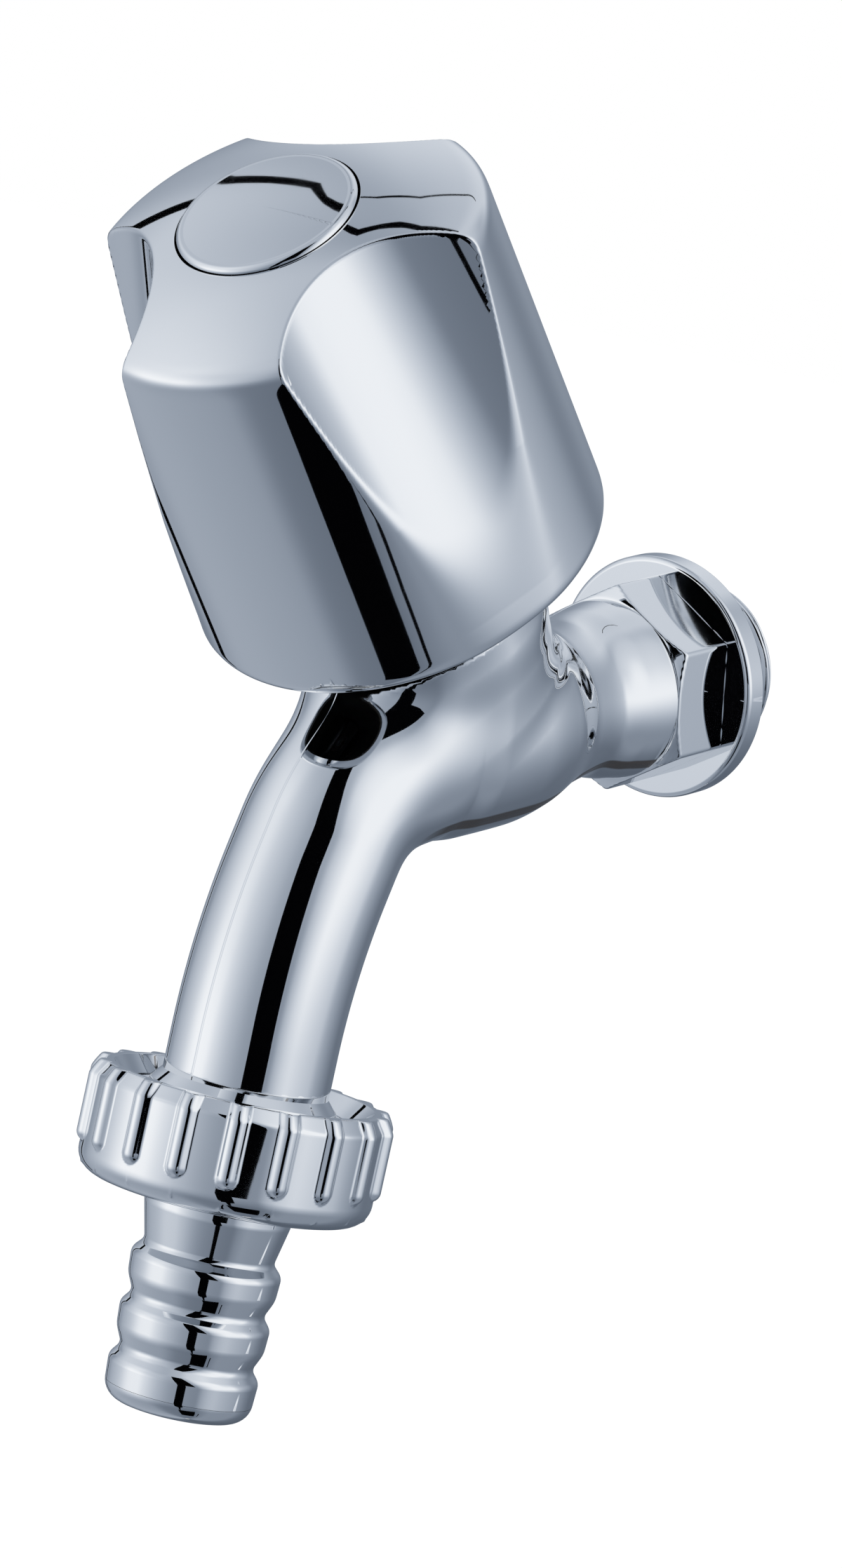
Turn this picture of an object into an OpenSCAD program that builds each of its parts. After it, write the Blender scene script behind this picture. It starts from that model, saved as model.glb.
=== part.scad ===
// Utility sink tap: a wall-held bib tap with a raked screw-down valve,
// a three-lobed knob and a ribbed union nut that holds a hose tail.
// Origin: on the inlet's axis, in the plane of the wall. +Y points into the wall, +Z up.
// Three axes carry the pieces: the inlet's (along Y), the valve's, which leans away from
// the wall, and the outlet's, down which the hose tail hangs.

/* [Inlet] */
// Outer radius of the inlet thread (G 1/2)
inlet_thread_r = 10.4775; // [9:0.0075:10.8]
// Length of thread that stands behind the wall plane
inlet_thread_l = 8; // [6:0.5:16]
// Radius of the plain shank that the wall flange sits on
inlet_shank_r = 10.1; // [9:0.1:10.8]
// Radius of the inlet waterway
inlet_bore_r = 5.5; // [4.5:0.1:6]
// Hexagon across its flats
hex_af = 22; // [21:0.5:26]
// Length of the hexagon along the inlet's axis
hex_l = 8.6; // [6:0.2:10]

/* [Wall flange] */
// Outer radius of the wall flange
flange_r = 14.7; // [14:0.1:22]
// Thickness of the wall flange
flange_t = 3; // [2:0.1:6]
// Height of the flange's dished face
flange_dish = 0.5; // [0.1:0.1:1.2]

/* [Casting] */
// Radius of the neck behind the hexagon
neck_r = 9.7; // [9:0.1:10.5]
// Radius of the body's belly below the valve
belly_r = 12.6; // [12:0.1:14]
// Outer radius of the spout
spout_r = 9.6; // [9:0.1:11]
// Radius of the spout's waterway
spout_bore_r = 6.8; // [5:0.1:7.2]
// Distance from the wall to the corner where the spout turns down
spout_reach = 56.5; // [54:0.5:62]
// Radius of the spout's upper bend, on its centre line
upper_bend_r = 18.5; // [17:0.5:20]
// Slant of the spout's upper run, from the vertical
upper_slant = 30; // [26:1:34]
// Length from the upper corner to the lower corner
upper_run = 24.9; // [24:0.1:40]
// Radius of the spout's lower bend, on its centre line
lower_bend_r = 74; // [50:1:80]
// Slant of the outlet, from the vertical
outlet_slant = 14.4; // [10:0.1:18]
// Length from the lower corner to the underside of the union nut
lower_run = 28.3; // [28:0.1:50]

/* [Valve axis] */
// Distance from the wall to the point where the valve's axis meets the inlet's
valve_reach = 36.8; // [35:0.1:39]
// Lean of the valve's axis away from the wall
valve_lean = 31.4; // [28:0.2:34]
// Radius of the valve barrel at its foot
barrel_r = 12.2; // [12:0.1:13]
// Radius of the valve barrel at its top
barrel_top_r = 13.9; // [13.5:0.1:15]
// Station of the barrel's top face along the valve's axis
barrel_top = 19; // [18:0.5:22]

/* [Headwork] */
// Radius of the bonnet's thread
bonnet_thread_r = 10.2; // [9.8:0.05:10.4]
// Bonnet hexagon across its flats
bonnet_af = 24; // [23:0.5:26]
// Height of the bonnet's hexagon
bonnet_hex_h = 6; // [4:0.5:8]
// Outer radius of the bonnet's tower
bonnet_tower_r = 7.5; // [7:0.1:9]
// Height of the bonnet's tower above its hexagon
bonnet_tower_h = 10; // [8:0.5:12]
// Radius of the spindle's lifting thread
spindle_thread_r = 8; // [7.4:0.05:8.4]
// Radius of the spindle's journal
journal_r = 5; // [4.6:0.05:5.4]
// Rise of the spindle from shut to full open
valve_lift = 4.4; // [3:0.1:4.6]
// Radius of the seat's waterway
seat_bore_r = 5; // [4:0.1:5.4]
// Outer radius of the seat ring
seat_ring_r = 7; // [6.6:0.1:7.4]
// Radius of the rubber seat washer
seat_washer_r = 6.5; // [6.2:0.1:6.6]
// Thickness of the rubber seat washer
seat_washer_t = 2.5; // [2:0.1:3]
// Number of splines on the spindle's head
spline_count = 20; // [16:2:24]

/* [Knob] */
// Radius of the knob at its rim
knob_r = 24.2; // [24:0.1:28]
// Radius of the knob at its shoulder
knob_shoulder_r = 23.7; // [23.3:0.1:24]
// Station of the knob's rim along the valve's axis
knob_foot = 26.1; // [25.5:0.1:27.5]
// Height of the knob from its rim to the cap's seat edge
knob_h = 48.8; // [48:0.1:52]
// Radius of the knob's domed top
knob_dome_r = 55; // [50:1:70]
// Wall of the knob's shell
knob_wall = 2; // [1.6:0.1:2.4]
// Radius of each finger scallop
scallop_r = 21.3; // [20:0.1:23]
// Lean of each scallop towards the knob's axis
scallop_lean = 14.4; // [13:0.2:15]
// Height above the rim where a scallop runs out
scallop_foot = 7.6; // [6:0.1:10]
// Turn of the knob at rest, from the front towards +X
knob_turn = 13.7; // [0:0.1:60]
// Radius of the cap
cap_r = 10.4; // [10:0.1:10.8]
// Height that the cap stands above the knob
cap_proud = 0.7; // [0.4:0.1:1.2]

/* [Outlet] */
// Outer radius of the outlet thread (G 3/4)
outlet_thread_r = 13.22; // [12.8:0.01:13.4]
// Plain outer radius of the union nut
nut_r = 17; // [16.6:0.1:19]
// Height of the union nut
nut_h = 13; // [12:0.1:14]
// Radius of the nut's lower edge
nut_round = 2.6; // [1:0.1:3]
// Number of grip ribs round the nut
rib_count = 18; // [12:1:24]
// Width of each grip rib
rib_w = 2.4; // [1.6:0.1:3]
// Height that each rib stands above the nut
rib_proud = 0.8; // [0.4:0.1:1.2]

/* [Hose tail] */
// Radius of the tail's waterway
tail_bore_r = 6; // [5:0.1:6.3]
// Radius over the tail's ridges
tail_ridge_r = 8.7; // [8.4:0.1:10]
// Radius in the tail's grooves
tail_groove_r = 7.6; // [7.2:0.1:8]
// Number of ridges
tail_ridges = 3; // [2:1:4]
// Distance from one ridge to the next
tail_pitch = 6.2; // [6:0.1:8]

/* [Hidden] */
$fn = 96;

// Running clearance on a radius, and the gap between pieces that only pass each other
fit = 0.05;
gap = 0.35;
// Overrun of a cut past the face that it opens
cut = 0.5;

// Bore of the wall flange, which slides on over the inlet's thread and shank
flange_bore_r = max(inlet_thread_r, inlet_shank_r) + 0.15;

// Stations along the valve's axis, from the inlet's axis up
seat_plate_top = -2;
seat_plate_foot = -4.6;
seat_face = -1;
chamber_r = 8.6;
chamber_top = 8;
gasket_t = 1;
bonnet_foot = 9.5;
bonnet_seat = barrel_top + gasket_t;
bonnet_hex_top = bonnet_seat + bonnet_hex_h;
bonnet_top = bonnet_hex_top + bonnet_tower_h;
bonnet_ceiling = bonnet_seat + 1.4;
jumper_plate = seat_face + seat_washer_t;
jumper_t = 2;
jumper_stem_r = 2.5;
jumper_stem_l = 7.5;
stud_r = 1.75;
spindle_foot = jumper_plate + jumper_t;
spindle_shoulder = bonnet_ceiling - valve_lift - 0.2;
slip_t = 1;
clip_t = 0.8;
clip_foot = bonnet_top + slip_t + gap;
groove_r = 4.1;
o_ring_section = 0.75;
o_ring_places = [bonnet_hex_top - 2, bonnet_hex_top + 4];

// The knob's inner stations, from its rim up
knob_top = knob_foot + knob_h;
recess_floor = knob_top - 6.9;
web_t = 4;
socket_top = recess_floor - web_t;
insert_foot = knob_foot + 20;
insert_r = 7.5;
socket_wall = 2;
spindle_top = socket_top - 2.2;
spline_r = 4.2;
spline_depth = 0.45;
spline_foot = clip_foot + clip_t + 1.6;
screw_r = 2;
screw_head_r = 3.6;
screw_l = 16;
lock_t = 0.8;
lobe_pitch = 120;
dome_centre = knob_top - sqrt(pow(knob_dome_r, 2) - pow(cap_r, 2));

// Stations down the outlet's axis, up from the underside of the union nut
nut_floor = 1.9;
tail_flange_t = 2.3;
tail_washer_t = 2;
tail_seat = nut_floor + tail_flange_t;
outlet_face = tail_seat + tail_washer_t;
nut_shoulder = nut_h - 1.9;
tail_neck_r = 8.5;
tail_first = -8;
tail_end = tail_first - (tail_ridges - 1) * tail_pitch - 4.6;
tail_flange_r = outlet_thread_r - 0.6;

// The spout's route in the plane of symmetry: [y, z] of its corners
upper_corner = [-spout_reach, 0];
lower_corner = upper_corner - upper_run * [sin(upper_slant), cos(upper_slant)];
outlet_foot = lower_corner - lower_run * [sin(outlet_slant), cos(outlet_slant)];
upper_turn = 90 - upper_slant;
upper_tangent = upper_bend_r * tan(upper_turn / 2);
lower_turn = upper_slant - outlet_slant;
lower_tangent = lower_bend_r * tan(lower_turn / 2);
neck_start = flange_t + hex_l - 1.5;
neck_waist = flange_t + hex_l + 7;

// Places of the three axes. Local +Z runs out of the wall, up the valve, or up the outlet.
module on_inlet() {
    rotate([90, 0, 0]) children();
}

module on_valve() {
    translate([0, -valve_reach, 0]) rotate([valve_lean, 0, 0]) children();
}

module on_outlet() {
    translate([0, outlet_foot[0], outlet_foot[1]]) rotate([-outlet_slant, 0, 0]) children();
}

// Turns children about the valve's axis so that local +X faces the given knob angle
module at_knob_angle(angle) {
    rotate([0, 0, angle - 90]) children();
}

// Points of an arc, for profiles
function arc(centre, r, from, to, steps) = [
    for (i = [0 : steps])
        let (a = from + (to - from) * i / steps)
        centre + r * [cos(a), sin(a)]
];

function smooth(t) = let (u = min(max(t, 0), 1)) u * u * (3 - 2 * u);

module tube(r_out, r_in, foot, top) {
    translate([0, 0, foot])
        difference() {
            cylinder(r = r_out, h = top - foot);
            translate([0, 0, -cut]) cylinder(r = r_in, h = top - foot + 2 * cut);
        }
}

// A cored waterway between two points of the plane of symmetry. It ends in a ball a little
// wider than the way, so that two ways can meet at a corner.
module cored_way(from, to, r) {
    run = to - from;
    translate([0, from[0], from[1]])
        rotate([-atan2(run[0], run[1]), 0, 0]) cylinder(r = r, h = norm(run));
    translate([0, to[0], to[1]]) sphere(r = r + 0.2);
}

// A stretch of round tube bent about a centre in the plane of symmetry. Angles run from
// +Y towards +Z.
module bent_tube(centre, bend_r, r, from, sweep) {
    translate([0, centre[0], centre[1]])
        rotate([90, 0, 90])
            rotate([0, 0, from])
                rotate_extrude(angle = sweep)
                    translate([bend_r, 0]) circle(r = r);
}

// Centre of the fillet circle that touches two lines of the plane of symmetry. Each line
// has a point on it and a normal that faces the centre.
function fillet_centre(p, n, q, m, r) =
    let (a = p * n + r, b = q * m + r, d = n[0] * m[1] - n[1] * m[0])
    [(a * m[1] - b * n[1]) / d, (n[0] * b - m[0] * a) / d];

// Cast fillet in the crook between two tubes: a short bent tube whose ends are buried in both
module crook(p, n, q, m, round_r, tube_r) {
    sink = 0.15;
    centre = fillet_centre(p - sink * n, n, q - sink * m, m, round_r);
    from = atan2(-n[1], -n[0]);
    to = atan2(-m[1], -m[0]);
    sweep = (to - from + 540) % 360 - 180;
    bent_tube(centre, round_r + tube_r, tube_r, sweep > 0 ? from : to, abs(sweep));
}

// Neck and belly: turned about the inlet's axis, swelling from the waist to the belly
module neck_and_belly() {
    belly_from = valve_reach - 0.8;
    belly_to = spout_reach - 8;
    steps = 10;
    on_inlet()
        rotate_extrude()
            polygon(concat(
                [[0, neck_start], [neck_r, neck_start]],
                [for (i = [0 : steps])
                    let (t = i / steps)
                    [neck_r + (belly_r - neck_r) * smooth(t), neck_waist + (belly_from - neck_waist) * t]],
                arc([0, belly_to], belly_r, 0, 90, steps)
            ));
}

// Spout: an elbow rooted in the belly and a long lower bend, both slightly stouter than
// the two straight runs whose ends lie inside them
module spout() {
    lap = 1;
    proud = 0.08;
    upper_l = upper_run - upper_tangent - lower_tangent;
    lower_l = lower_run - lower_tangent - nut_shoulder;
    elbow_centre = upper_corner + [upper_tangent, -upper_bend_r];
    bend_centre = lower_corner + lower_tangent * [sin(upper_slant), cos(upper_slant)]
        + lower_bend_r * [cos(upper_slant), -sin(upper_slant)];
    bent_tube(elbow_centre, upper_bend_r, spout_r + proud, 90, upper_turn);
    translate([0, upper_corner[0], upper_corner[1]])
        rotate([180 - upper_slant, 0, 0])
            translate([0, 0, upper_tangent - lap]) cylinder(r = spout_r, h = upper_l + 2 * lap);
    bent_tube(bend_centre, lower_bend_r, spout_r + proud, 180 - upper_slant, lower_turn);
    on_outlet()
        translate([0, 0, nut_shoulder]) cylinder(r = spout_r, h = lower_l + lap);
}

// The two crooks: spout under the belly, and barrel over the neck
module crooks() {
    under_r = 8;
    over_r = 5;
    slip = 0.3;
    spout_back = [cos(upper_slant), -sin(upper_slant)];
    barrel_back = [cos(valve_lean), sin(valve_lean)];
    crook([0, -belly_r], [0, -1], upper_corner + spout_r * spout_back, spout_back,
        under_r, spout_r - slip);
    crook([0, neck_r], [0, 1], [-valve_reach, 0] + barrel_r * barrel_back, barrel_back,
        over_r, neck_r - slip);
}

// Inlet end: thread, shank, and a hexagon whose corners a cone turns down
module inlet_end() {
    corner_r = hex_af / 2 / cos(30);
    turned = 1;
    on_inlet() {
        translate([0, 0, -inlet_thread_l]) cylinder(r1 = inlet_thread_r - 1, r2 = inlet_thread_r, h = 1);
        translate([0, 0, 1 - inlet_thread_l]) cylinder(r = inlet_thread_r, h = inlet_thread_l - 1);
        cylinder(r = inlet_shank_r, h = flange_t + 1);
        translate([0, 0, flange_t])
            intersection() {
                rotate([0, 0, 30]) cylinder(r = corner_r, h = hex_l, $fn = 6);
                cylinder(r1 = corner_r + (hex_l - turned) * 1.7, r2 = corner_r - 1.7 * turned, h = hex_l);
            }
        translate([0, 0, flange_t + hex_l - 0.8])
            cylinder(r1 = hex_af / 2 - 0.2, r2 = neck_r - 0.3, h = 2.7);
    }
}

// Valve barrel: rises from the belly, flares into the ring that the bonnet screws into
module valve_barrel() {
    flare = barrel_top_r - barrel_r;
    on_valve()
        rotate_extrude()
            polygon(concat(
                [[0, -6], [barrel_r - 2, -6], [barrel_r, 0]],
                [for (i = [0 : 8]) [barrel_r + flare * smooth(i / 8), 5 + (barrel_top - 8) * i / 8]],
                [[barrel_top_r, barrel_top - 0.6], [barrel_top_r - 0.6, barrel_top], [0, barrel_top]]
            ));
}

// Outlet boss: the thread that the union nut runs on, with a collar above it
module outlet_boss() {
    on_outlet()
        rotate_extrude()
            polygon(concat(
                [[0, outlet_face], [outlet_thread_r - 0.8, outlet_face]],
                [[outlet_thread_r, outlet_face + 0.8], [outlet_thread_r, nut_shoulder - 0.8]],
                [[outlet_thread_r - 1.4, nut_shoulder], [spout_r + 1.2, nut_shoulder]],
                [[spout_r + 1.2, nut_shoulder + 0.8], [spout_r - 0.4, nut_shoulder + 2.2],
                 [0, nut_shoulder + 2.2]]
            ));
}

// Waterways: in from the wall, up through the seat, and down the spout
module waterways() {
    inlet_end_y = -(valve_reach - 10.5);
    way_r = inlet_bore_r - 0.7;
    under_seat = [-valve_reach - sin(valve_lean) * seat_plate_foot,
        cos(valve_lean) * seat_plate_foot - 1.2];
    throat = [-valve_reach - 8, -0.6];
    on_inlet()
        translate([0, 0, -inlet_thread_l - cut])
            cylinder(r = inlet_bore_r, h = inlet_thread_l + cut - inlet_end_y);
    cored_way([inlet_end_y + 3, -0.5], under_seat - [-1.2, 0.8], way_r);
    on_valve() {
        translate([0, 0, seat_plate_foot - 3.6]) cylinder(r = 6.2, h = 3.6);
        translate([0, 0, seat_plate_foot - cut])
            cylinder(r = seat_ring_r, h = seat_plate_top - seat_plate_foot + 2 * cut);
        translate([0, 0, seat_plate_top]) cylinder(r = chamber_r, h = chamber_top - seat_plate_top + cut);
        translate([0, 0, chamber_top])
            cylinder(r = bonnet_thread_r + fit, h = barrel_top - chamber_top + cut);
    }
    cored_way(throat, upper_corner - [-2, 0.6], 6.3);
    cored_way(upper_corner - [-2, 0.6], lower_corner, spout_bore_r - 0.3);
    cored_way(lower_corner, outlet_foot + (outlet_face + 12) * [sin(outlet_slant), cos(outlet_slant)],
        spout_bore_r - 0.3);
    on_outlet()
        translate([0, 0, outlet_face - cut]) cylinder(r = spout_bore_r, h = 12);
}

module body() {
    color("gainsboro")
        difference() {
            union() {
                neck_and_belly();
                spout();
                crooks();
                inlet_end();
                valve_barrel();
                outlet_boss();
            }
            waterways();
        }
}

// Rosette that hides the hole in the wall: a turned ring with a dished face
module wall_flange() {
    edge = 0.6;
    color("gainsboro")
        on_inlet()
            rotate_extrude()
                polygon(concat(
                    [[flange_bore_r, 0], [flange_r - edge, 0]],
                    arc([flange_r - edge, edge], edge, -90, 0, 4),
                    arc([flange_r - edge, flange_t - flange_dish - edge], edge, 0, 80, 4),
                    [[max(hex_af / 2, flange_bore_r + 0.3), flange_t], [flange_bore_r, flange_t]]
                ));
}

// Screwed-in seat: its raised lip is what the rubber washer shuts on
module seat_ring() {
    lip = 0.6;
    color("silver")
        on_valve()
            rotate_extrude()
                polygon([
                    [seat_bore_r, seat_plate_foot + 0.2],
                    [seat_ring_r - fit, seat_plate_foot + 0.2],
                    [seat_ring_r - fit, seat_plate_top - 0.6],
                    [seat_ring_r - fit, seat_plate_top],
                    [seat_bore_r + 2 * lip, seat_plate_top],
                    [seat_bore_r + lip, seat_face],
                    [seat_bore_r, seat_face]
                ]);
}

module bonnet_gasket() {
    color("dimgray")
        on_valve()
            tube(barrel_top_r - 0.6, bonnet_thread_r + 0.3, barrel_top, bonnet_seat);
}

// Bonnet: carries the spindle's thread below and its journal and seals above
module bonnet() {
    hex_r = bonnet_af / 2 / cos(30);
    undercut = 0.8;
    color("darkkhaki")
        on_valve()
            difference() {
                union() {
                    translate([0, 0, bonnet_foot]) cylinder(r = bonnet_thread_r - 0.8, h = 1);
                    translate([0, 0, bonnet_foot + 0.8])
                        cylinder(r = bonnet_thread_r, h = bonnet_seat - bonnet_foot);
                    intersection() {
                        translate([0, 0, bonnet_seat]) cylinder(r = hex_r, h = bonnet_hex_h, $fn = 6);
                        translate([0, 0, bonnet_seat])
                            cylinder(r1 = hex_r + bonnet_hex_h, r2 = hex_r - 1, h = bonnet_hex_h);
                    }
                    translate([0, 0, bonnet_hex_top - cut])
                        cylinder(r = bonnet_tower_r, h = bonnet_tower_h + cut - undercut);
                    translate([0, 0, bonnet_top - undercut])
                        cylinder(r1 = bonnet_tower_r, r2 = bonnet_tower_r - undercut, h = undercut);
                }
                translate([0, 0, bonnet_foot - cut])
                    cylinder(r = spindle_thread_r + fit, h = bonnet_ceiling - bonnet_foot + cut);
                translate([0, 0, bonnet_ceiling - cut])
                    cylinder(r = journal_r + fit, h = bonnet_top - bonnet_ceiling + 2 * cut);
            }
}

module slip_washer() {
    color("white")
        on_valve()
            tube(bonnet_tower_r - 0.9, journal_r + 0.2, bonnet_top, bonnet_top + slip_t);
}

// Jumper: a plate with a cupped rim for the rubber, a stem that the spindle holds,
// and a stud for the nut
module jumper() {
    cup_r = seat_washer_r + 0.2;
    rim_w = 0.7;
    stud_l = seat_washer_t + 2;
    color("goldenrod")
        on_valve() {
            translate([0, 0, jumper_plate]) cylinder(r = cup_r + rim_w, h = jumper_t - 0.3);
            tube(cup_r + rim_w, cup_r, jumper_plate - 1, jumper_plate + 0.2);
            translate([0, 0, jumper_plate + 0.5]) cylinder(r = jumper_stem_r, h = jumper_t + jumper_stem_l);
            translate([0, 0, jumper_plate - stud_l]) cylinder(r = stud_r, h = stud_l + cut);
        }
}

module seat_washer() {
    color("#202020")
        on_valve()
            tube(seat_washer_r, stud_r + 0.1, seat_face, jumper_plate);
}

module washer_nut() {
    color("goldenrod")
        on_valve()
            translate([0, 0, seat_face - 1.6])
                difference() {
                    cylinder(r = 3.4, h = 1.6, $fn = 6);
                    translate([0, 0, -cut]) cylinder(r = stud_r + fit, h = 1.6 + 2 * cut);
                }
}

// Outline of the splined head, or of the socket round it
module spline_outline(grow) {
    steps = 2 * spline_count;
    polygon([
        for (i = [0 : steps - 1])
            let (r = spline_r + grow - (i % 2) * spline_depth, a = 360 * i / steps)
            r * [cos(a), sin(a)]
    ]);
}

module spindle() {
    collar = 1;
    color("darkkhaki")
        on_valve()
            difference() {
                union() {
                    translate([0, 0, spindle_foot])
                        cylinder(r1 = spindle_thread_r - collar, r2 = spindle_thread_r, h = collar);
                    translate([0, 0, spindle_foot + collar])
                        cylinder(r = spindle_thread_r, h = spindle_shoulder - spindle_foot - collar);
                    translate([0, 0, spindle_shoulder - cut])
                        cylinder(r = journal_r, h = spline_foot - spindle_shoulder + cut);
                    translate([0, 0, spline_foot - cut])
                        linear_extrude(height = spindle_top - spline_foot + cut) spline_outline(0);
                }
                translate([0, 0, spindle_foot - cut])
                    cylinder(r = jumper_stem_r + fit, h = jumper_stem_l + 1.5 + cut);
                for (z = o_ring_places)
                    tube(journal_r + 1, journal_r - 2 * o_ring_section, z - 0.9, z + 0.9);
                tube(journal_r + 1, groove_r, clip_foot - 0.05, clip_foot + clip_t + 0.05);
                translate([0, 0, spindle_top - screw_l + 2]) cylinder(r = screw_r + fit, h = screw_l);
            }
}

module spindle_o_rings() {
    color("#181818")
        on_valve()
            for (z = o_ring_places)
                translate([0, 0, z])
                    rotate_extrude()
                        translate([journal_r + fit - 0.02 - o_ring_section, 0])
                            circle(r = o_ring_section, $fn = 32);
}

// Open-ended clip that snaps into the spindle's groove above the bonnet
module retaining_clip() {
    color("silver")
        on_valve()
            difference() {
                tube(bonnet_tower_r - 1, groove_r + 0.02, clip_foot, clip_foot + clip_t);
                translate([-groove_r * 0.8, 0, clip_foot - cut])
                    cube([groove_r * 1.6, bonnet_tower_r, clip_t + 2 * cut]);
            }
}

// Nylon hub: splined inside, fluted outside so that the shell can't slip on it
module knob_insert() {
    color("ivory")
        on_valve()
            difference() {
                translate([0, 0, insert_foot]) cylinder(r = insert_r, h = socket_top - insert_foot);
                translate([0, 0, insert_foot - cut])
                    linear_extrude(height = spindle_top + 0.2 - insert_foot + cut) spline_outline(fit);
                translate([0, 0, spindle_top]) cylinder(r = screw_r + 0.3, h = 6);
                for (k = [0 : 2])
                    at_knob_angle(knob_turn + k * lobe_pitch)
                        translate([insert_r, 0, insert_foot - cut])
                            cylinder(r = 1.2, h = socket_top - insert_foot + 2 * cut, $fn = 24);
            }
}

// The knob's outer form, or its cavity when drawn in by a wall
module knob_form(inset) {
    foot = knob_foot - (inset > 0 ? cut : 0);
    rim = 1.2;
    shoulder = 1.2;
    side_r = knob_shoulder_r - inset;
    dome = knob_dome_r - inset;
    shoulder_z = dome_centre + sqrt(pow(dome, 2) - pow(side_r, 2));
    lean = asin(side_r / dome);
    difference() {
        rotate_extrude($fn = 128)
            polygon(concat(
                [[0, foot], [knob_r - inset - rim, foot]],
                arc([knob_r - inset - rim, foot + rim], rim, -90, 0, 6),
                arc([side_r - shoulder, shoulder_z - shoulder * 0.9], shoulder, 0, 90 - lean * 0.6, 6),
                arc([0, dome_centre], dome, 90 - lean + 3.5, 90, 12)
            ));
        for (k = [0 : 2])
            at_knob_angle(knob_turn + (k + 0.5) * lobe_pitch)
                translate([knob_r - 0.3, 0, knob_foot + scallop_foot])
                    rotate([0, -scallop_lean, 0])
                        translate([scallop_r, 0, -20]) cylinder(r = scallop_r + inset, h = 80, $fn = 160);
    }
}

module knob_shell() {
    rib_t = 1.6;
    socket_r = insert_r + socket_wall;
    color("gainsboro")
        on_valve()
            difference() {
                union() {
                    difference() {
                        knob_form(0);
                        knob_form(knob_wall);
                    }
                    intersection() {
                        knob_form(0.5);
                        union() {
                            translate([0, 0, insert_foot])
                                cylinder(r = socket_r, h = knob_top - insert_foot + 4);
                            translate([0, 0, recess_floor - 2]) cylinder(r = cap_r + 1.9, h = 12);
                            for (k = [0 : 2])
                                at_knob_angle(knob_turn + k * lobe_pitch)
                                    translate([0, -rib_t / 2, insert_foot + 6])
                                        cube([knob_r, rib_t, knob_h]);
                        }
                    }
                }
                difference() {
                    translate([0, 0, insert_foot - cut])
                        cylinder(r = insert_r + fit, h = socket_top - insert_foot + cut);
                    for (k = [0 : 2])
                        at_knob_angle(knob_turn + k * lobe_pitch)
                            translate([insert_r + 0.1, 0, insert_foot - 2 * cut])
                                cylinder(r = 1, h = socket_top - insert_foot + 4 * cut, $fn = 24);
                }
                translate([0, 0, recess_floor]) cylinder(r = cap_r + fit, h = 12);
                translate([0, 0, socket_top - cut]) cylinder(r = screw_r + 0.4, h = web_t + 2 * cut);
            }
}

module lock_washer() {
    color("silver")
        on_valve()
            difference() {
                tube(screw_head_r + 0.3, screw_r + 0.2, recess_floor, recess_floor + lock_t);
                translate([0, -0.3, recess_floor - cut]) cube([screw_head_r + 1, 0.6, lock_t + 2 * cut]);
            }
}

module knob_screw() {
    head_h = 2.2;
    head_foot = recess_floor + lock_t;
    color("silver")
        on_valve()
            difference() {
                union() {
                    translate([0, 0, head_foot - screw_l]) cylinder(r = screw_r, h = screw_l + 0.2);
                    translate([0, 0, head_foot]) cylinder(r = screw_head_r, h = head_h);
                }
                for (turn = [0, 90])
                    rotate([0, 0, turn])
                        translate([-2.2, -0.5, head_foot + head_h - 1.2]) cube([4.4, 1, 2]);
            }
}

// Plain cap that snaps over the screw
module knob_cap() {
    edge = 0.8;
    foot = knob_top - 2;
    top = knob_top + cap_proud;
    crown = 0.5;
    leg_r = cap_r - 1.6;
    color("gainsboro")
        on_valve() {
            rotate_extrude($fn = 128)
                polygon(concat(
                    [[0, foot], [cap_r, foot]],
                    arc([cap_r - edge, top - edge], edge, 0, 80, 6),
                    [for (i = [6 : -1 : 0]) let (r = (cap_r - 2) * i / 6)
                     [r, top + crown * (1 - pow(i / 6, 2))]]
                ));
            tube(leg_r, leg_r - 1.4, recess_floor, foot + 0.2);
        }
}

// Union nut: ribbed, turned down to a wide bevel at the top and a round edge below
module union_nut() {
    bevel = nut_h - nut_shoulder;
    lip_r = nut_r - 1.2;
    rib_foot = 4.6;
    color("gainsboro")
        on_outlet()
            difference() {
                intersection() {
                    union() {
                        cylinder(r = nut_r, h = nut_h);
                        for (k = [0 : rib_count - 1])
                            rotate([0, 0, 360 * (k + 0.5) / rib_count])
                                translate([nut_r + rib_proud - rib_w / 2, 0, rib_foot]) {
                                    cylinder(r = rib_w / 2, h = nut_h - rib_foot, $fn = 24);
                                    sphere(r = rib_w / 2, $fn = 24);
                                }
                    }
                    rotate_extrude($fn = 128)
                        polygon(concat(
                            [[0, 0], [nut_r - nut_round, 0]],
                            arc([nut_r - nut_round, nut_round], nut_round, -90, 0, 8),
                            [[nut_r + 3, nut_round], [nut_r + 3, nut_shoulder - 3 * bevel / 1.2]],
                            [[lip_r, nut_h], [0, nut_h]]
                        ));
                }
                translate([0, 0, -cut]) cylinder(r = tail_neck_r + gap, h = nut_h);
                translate([0, 0, nut_floor]) cylinder(r = outlet_thread_r + fit, h = nut_h);
                translate([0, 0, nut_shoulder])
                    cylinder(r1 = outlet_thread_r + fit, r2 = lip_r - 0.7, h = bevel + 0.01);
            }
}

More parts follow.
